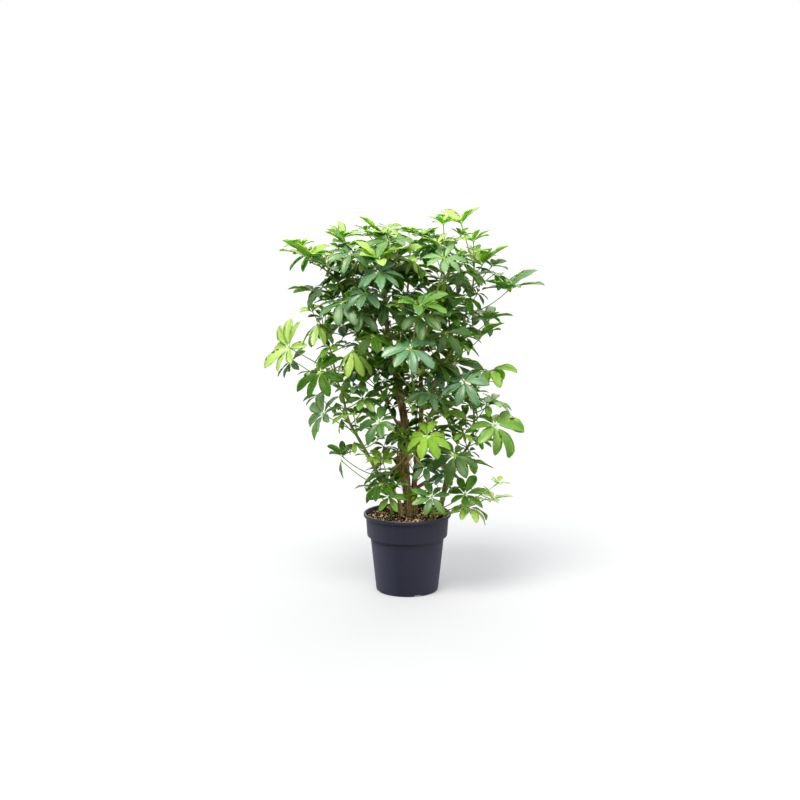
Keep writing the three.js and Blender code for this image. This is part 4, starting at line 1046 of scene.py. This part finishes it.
def cut_slots(pot, count=4, first=-69.0, width=23.0, height=5.0, reach=18.0, radius=85.5):
    """Drain slots through the bottom corner, cut by boxes that stand across it at even bearings."""
    for k in range(count):
        way = bearing_vector(first + 360 / count * k)
        beside = np.array([-way[1], way[0], 0])
        out, across, up = (BOX_CORNERS[:, axis, None] for axis in range(3))
        points = way * (radius + reach * out) + beside * (width / 2 * across) + up * np.array([0, 0, height])
        mesh = bpy.data.meshes.new("slot")
        mesh.from_pydata((points * MM).tolist(), [], BOX_QUADS.tolist())
        cutter = bpy.data.objects.new("slot", mesh)
        bpy.context.scene.collection.objects.link(cutter)
        cut = pot.modifiers.new("slot", "BOOLEAN")
        cut.operation = "DIFFERENCE"
        cut.object = cutter
        cut.solver = "EXACT"
        bpy.context.view_layer.update()
        whole = bpy.data.meshes.new_from_object(pot.evaluated_get(bpy.context.evaluated_depsgraph_get()))
        pot.modifiers.clear()
        pot.data = whole
        bpy.data.objects.remove(cutter)
    pot.data.polygons.foreach_set("use_smooth", np.full(len(pot.data.polygons), True))
    pot.data.set_sharp_from_angle(angle=math.radians(40))


# ---------------------------------------------------------------- soil


def soil_height(x, y):
    """Height of the soil in millimetres: a low mound with a slow ripple and a fine crumbly noise."""
    flat = np.stack([x, y, np.zeros_like(x)], axis=-1)
    mound = SOIL_TOP + SOIL_SWELL + SOIL_MOUND * (1 - np.hypot(x, y) / SOIL_RADIUS)
    ripple = SOIL_RIPPLE * np.sin(0.11 * x + 1) * np.cos(0.13 * y)
    return mound + ripple + 0.9 * value_noise(flat, 7.0, 5) + 0.7 * value_noise(flat, 2.6, 6)


class UMBRELLA_OT_soil(bpy.types.Operator):
    """Potting soil that fills the pot, with loose crumbs and perlite grains on its face"""

    bl_idname = "umbrella.soil"
    bl_label = "Soil"

    def execute(self, context):
        settings = context.scene.umbrella_soil
        dark, brown, light = opaque(settings.dark), opaque(settings.brown), opaque(settings.light)
        peat = crumb_material("potting_mix_peat", dark, light, 0.95, brown)
        loose = crumb_material("coir_and_bark_crumbs", dark, light, 0.9, brown)
        white = crumb_material("perlite_expanded", linear("#B89F7E"), opaque(settings.perlite), 0.8)
        radii = np.linspace(SOIL_RADIUS, 1.2, SOIL_RINGS)
        face = turned_surface(np.stack([radii, np.zeros_like(radii)], axis=-1), SOIL_SIDES)
        face[..., 2] = soil_height(face[..., 0], face[..., 1])
        rings = np.concatenate([turned_surface(SOIL_WALL, SOIL_SIDES), face])
        points, faces = closed_turn(rings, SOIL_FLOOR, SOIL_TOP + SOIL_SWELL + SOIL_MOUND)
        tone = 0.12 + 0.2 * value_noise(points, 5.0, 9)
        make_piece("soil_bed", points * MM, faces, peat, ["soil"], values={"tone": tone})
        grain = settings.grain / MM
        scatter_crumbs("soil_crumbs", CRUMBS, grain, 1.0, 21, loose)
        scatter_crumbs("soil_perlite", PERLITE_GRAINS, grain * 0.9, 0.25, 22, white)
        return {"FINISHED"}


def scatter_crumbs(name, count, size, evenness, seed, material):
    """Crumbs on the soil: small uneven eight-cornered lumps at random places, turns and sizes.

    Places fill the disc evenly: radius = edge x the square root of a random share. Tones go from mostly dark
    at an evenness of 1 to nearly all pale at 0.
    """
    random = np.random.default_rng(seed)
    radius = CRUMB_RADIUS * np.sqrt(random.uniform(0, 1, count))
    angle = random.uniform(0, 2 * np.pi, count)
    x, y = radius * np.cos(angle), radius * np.sin(angle)
    lumps = BOX_CORNERS * random.uniform(0.45, 1.0, (count, 8, 3))
    sizes = size * random.lognormal(0, 0.35, count) / 2
    limits = ((0.8, 1.7), (0.6, 1.1), (0.4, 0.8))  # length, width and height over the size
    stretch = np.stack([random.uniform(least, most, count) for least, most in limits], axis=-1)
    lumps = lumps * (sizes[:, None] * stretch)[:, None]
    turn, tilt = random.uniform(0, 2 * np.pi, count), random.uniform(-0.6, 0.6, count)
    c, s = np.cos(turn)[:, None], np.sin(turn)[:, None]
    ct, st = np.cos(tilt)[:, None], np.sin(tilt)[:, None]
    px = lumps[..., 0] * ct - lumps[..., 2] * st
    pz = lumps[..., 0] * st + lumps[..., 2] * ct
    points = np.stack([px * c - lumps[..., 1] * s, px * s + lumps[..., 1] * c, pz], axis=-1)
    points += np.stack([x, y, soil_height(x, y) + 0.25 * sizes], axis=-1)[:, None]
    faces = (BOX_QUADS[None] + np.arange(count)[:, None, None] * 8).reshape(-1, 4)
    tone = np.repeat(random.uniform(0, 1, count) ** 2.9 * evenness + (1 - evenness) * 0.8, 8)
    points = points.reshape(-1, 3) * MM
    make_piece(name, points, [faces], material, values={"tone": tone}, smooth=False)


# ---------------------------------------------------------------- trunks


def bark_shell(stem, ridge, seed, sides=56):
    """Woody stem: rings round a smooth path, whose radius has ridges along the stem, warts and a slow swell.

    Ridges: sines of several multiples of the angle that drift along the stem. Warts: smooth noise.
    """
    guides, radii = stem["guides"], stem["radii"]
    legs = len(guides) - 1
    length = path_length(guides)
    places = np.linspace(0, legs, int(length / 2.2) + 2)
    base = np.interp(places, np.arange(len(radii)), radii)[:, None]
    angles = np.linspace(0, 2 * np.pi, sides, endpoint=False)
    along = (places / legs * length)[:, None]
    drift = 0.5 * np.sin(along / 37 + seed)
    ridges = sum(high * np.sin(turns * angles + bend * drift + phase * seed) for turns, bend, phase, high in RIDGES)
    ridges = ridges / sum(row[3] for row in RIDGES)
    on_axis = np.stack([np.cos(angles) * base, np.sin(angles) * base, np.repeat(along, sides, axis=1)], axis=-1)
    warts = value_noise(on_axis, 6.5, seed + 30) + 0.5 * value_noise(on_axis * [1, 1, 0.4], 2.4, seed + 31)
    relief = ridge / MM * (ridges + 0.9 * warts) * np.clip(base / 9, 0.35, 1.2)
    tube = round_tube(smooth_path(guides, places), base - 0.4 + relief, sides)
    value = np.clip(0.5 * ridges + 0.4 * warts, -1, 1) * 0.3
    return tube.reshape(-1, 3) * MM, tube_faces(len(places), sides), {"ridge": value.reshape(-1)}


def aerial_roots(count):
    """Fine roots that start round the knuckle of the main trunk and hang down beside it, each on its own arc."""
    shells = []
    t = np.linspace(0, 1, 7)[:, None]
    for k in range(count):
        way = bearing_vector(varied(k, 1, -95, 85))
        start = np.array([-8, 0, varied(k, 2, 378, 44)]) + way * 12
        swing = np.array([-way[1], way[0], 0]) * varied(k, 4, 0, 16)
        fall = np.array([0, 0, varied(k, 3, 40, 28)])
        path = start + way * (9 * np.sin(np.pi * t)) + swing * t - fall * t
        points = round_tube(path, varied(k, 6, 0.75, 0.15) - 0.35 * t, 5).reshape(-1, 3) * MM
        shells.append((points, tube_faces(len(t), 5), {"tone": np.full(len(points), varied(k, 5, 0.5, 0.4))}))
    return shells


class UMBRELLA_OT_trunks(bpy.types.Operator):
    """Woody stems with ridged bark, their pruned stubs and the fine roots on them"""

    bl_idname = "umbrella.trunks"
    bl_label = "Trunks"

    def execute(self, context):
        settings = context.scene.umbrella_bark
        bark = bark_material(settings)
        for seed, (name, trunk) in enumerate(TRUNKS.items(), start=1):
            shells = [bark_shell(trunk, settings.ridge, seed)]
            if "stub" in trunk:
                shells.append(bark_shell(trunk["stub"], settings.ridge, seed + 5, 32))
            points, faces, values = joined(shells)
            make_piece(name + "_bark", points, faces, bark, [name], values=values)
        dry = crumb_material("aerial_roots_dry", linear("#8A6A35"), linear("#D9BE72"), 0.7)
        points, faces, values = joined(aerial_roots(AERIAL_ROOTS))
        make_piece("aerial_roots", points, faces, dry, values=values)
        return {"FINISHED"}


# ---------------------------------------------------------------- shoots


class UMBRELLA_OT_shoots(bpy.types.Operator):
    """Leafy stems, each with its stalks as one piece and its leaflets as another"""

    bl_idname = "umbrella.shoots"
    bl_label = "Shoots"

    def execute(self, context):
        scene = context.scene
        blade = leaf_material(scene.umbrella_leaf)
        skin = stem_material(scene.umbrella_leaf, scene.umbrella_bark)
        number = 0
        for seed, (name, shoot) in enumerate(SHOOTS.items()):
            leaves = leaves_of(shoot, number)
            number += len(leaves)
            leaves += sprigs_of(shoot, seed)
            points, faces, values = joined([stem_shell(shoot)] + [petiole_shell(leaf) for leaf in leaves])
            make_piece(name + "_stems", points, faces, skin, values=values)
            table = leaflet_table(leaves, scene.umbrella_leaf.shape)
            points, faces, uv, values = leaflet_shells(table, scene.umbrella_leaf.thickness)
            make_piece(name + "_leaves", points, faces, blade, [name], uv=uv, values=values)
        return {"FINISHED"}


# ---------------------------------------------------------------- stage


def aim(thing, target):
    """Turn a lamp or camera so that it looks at a point."""
    way = np.array(target) - np.array(thing.location)
    pitch = math.atan2(way[2], math.hypot(way[0], way[1])) + math.pi / 2
    thing.rotation_euler = (pitch, 0, math.atan2(way[1], way[0]) - math.pi / 2)


def placed(scene, name, data, place, target):
    """New lamp or camera at a place, aimed at a target."""
    thing = bpy.data.objects.new(name, data)
    thing.location = place
    aim(thing, target)
    scene.collection.objects.link(thing)
    return thing


def floor_paint():
    """Matt studio floor paint: nearly white, barely mottled.

    It looks pale and throws back little light, so that the plant keeps its dark hollows.
    """
    material, add = new_material("studio_floor_matt_paint")
    where = add("TexCoord", output="Object")
    mottle = add("TexNoise", {"Vector": where, "Scale": cells(333)}, "Fac")
    paint = {
        "Base Color": add("ValToRGB", {"Fac": mottle}, "Color", [(0.0, linear("#878C99")), (1.0, linear("#8B909D"))]),
        "Roughness": 0.9,
        "Specular IOR Level": 0.1,
        "Emission Color": linear("#FFFFFF"),
        "Emission Strength": 0.24,
    }
    seen = add("LightPath", output="Is Camera Ray")
    dull = add("BsdfDiffuse", {"Color": linear("#6E6E6E")}, "BSDF")
    either = add("MixShader", {0: seen, 1: dull, 2: add("BsdfPrincipled", paint, "BSDF")}, "Shader")
    add("OutputMaterial", {"Surface": either})
    return material


def studio_world():
    """White surroundings for the camera, and for all else a soft warm sky that brightens upwards."""
    world = bpy.data.worlds.new("studio")
    add = node_maker(world)
    up = add("SeparateXYZ", {"Vector": add("TexCoord", output="Generated")}, "Z")
    glow = add("MapRange", {"Value": up, "From Max": 0.9, "To Min": 0.18, "To Max": 1.85}, "Result")
    sky = add("Background", {"Color": linear("#FFFDF0"), "Strength": glow}, "Background")
    white = add("Background", {"Color": linear("#FFFFFF"), "Strength": 1.0}, "Background")
    seen = add("LightPath", output="Is Camera Ray")
    add("OutputWorld", {"Surface": add("MixShader", {0: seen, 1: sky, 2: white}, "Shader")})
    return world


class UMBRELLA_OT_stage(bpy.types.Operator):
    """Pale floor, soft light all round and the camera at the photograph's angle"""

    bl_idname = "umbrella.stage"
    bl_label = "Stage"

    def execute(self, context):
        scene = context.scene
        mesh = bpy.data.meshes.new("floor")
        corners = [(x * FLOOR_SIDE, y * FLOOR_SIDE, 0) for x, y in ((-1, -1), (1, -1), (1, 1), (-1, 1))]
        mesh.from_pydata(corners, [], [(0, 1, 2, 3)])
        mesh.materials.append(floor_paint())
        floor = bpy.data.objects.new("floor", mesh)
        scene.collection.objects.link(floor)
        scene.world = studio_world()
        for name, place, width, strength in LAMPS:
            light = bpy.data.lights.new(name, "SUN")
            light.angle = math.radians(width)
            light.energy = strength
            light.color = linear("#FFF4DC")[:3]
            placed(scene, name, light, place, LAMP_TARGET)
        camera = bpy.data.cameras.new("camera")
        camera.sensor_width = 36.0
        camera.lens = 66.94
        scene.camera = placed(scene, "camera", camera, (-0.02, -4.0, 1.14), (-0.02, 0.0, 0.53))
        scene.view_settings.view_transform = "Standard"
        return {"FINISHED"}


# ---------------------------------------------------------------- add-on


class UMBRELLA_PT_panel(bpy.types.Panel):
    """Buttons that build the plant"""

    bl_idname = "UMBRELLA_PT_panel"
    bl_label = "Umbrella plant"
    bl_space_type = "VIEW_3D"
    bl_region_type = "UI"
    bl_category = "Umbrella plant"

    def draw(self, context):
        for operator in OPERATORS:
            self.layout.operator(operator.bl_idname)
        for name, group in SETTINGS.items():
            for key in group.__annotations__:
                self.layout.prop(getattr(context.scene, name), key)


SETTINGS = {
    "umbrella_pot": PotSettings,
    "umbrella_soil": SoilSettings,
    "umbrella_bark": BarkSettings,
    "umbrella_leaf": LeafSettings,
}
OPERATORS = (UMBRELLA_OT_stage, UMBRELLA_OT_pot, UMBRELLA_OT_soil, UMBRELLA_OT_trunks, UMBRELLA_OT_shoots)


def register():
    """Add the classes and the scene's settings."""
    for item in (*SETTINGS.values(), *OPERATORS, UMBRELLA_PT_panel):
        bpy.utils.register_class(item)
    for name, group in SETTINGS.items():
        setattr(bpy.types.Scene, name, PointerProperty(type=group))


def unregister():
    """Take the classes and the settings away again."""
    for name in SETTINGS:
        delattr(bpy.types.Scene, name)
    for item in reversed((*SETTINGS.values(), *OPERATORS, UMBRELLA_PT_panel)):
        bpy.utils.unregister_class(item)


def main():
    register()
    bpy.ops.umbrella.stage()
    bpy.ops.umbrella.pot()
    bpy.ops.umbrella.soil()
    bpy.ops.umbrella.trunks()
    bpy.ops.umbrella.shoots()


if __name__ == "__main__":
    main()
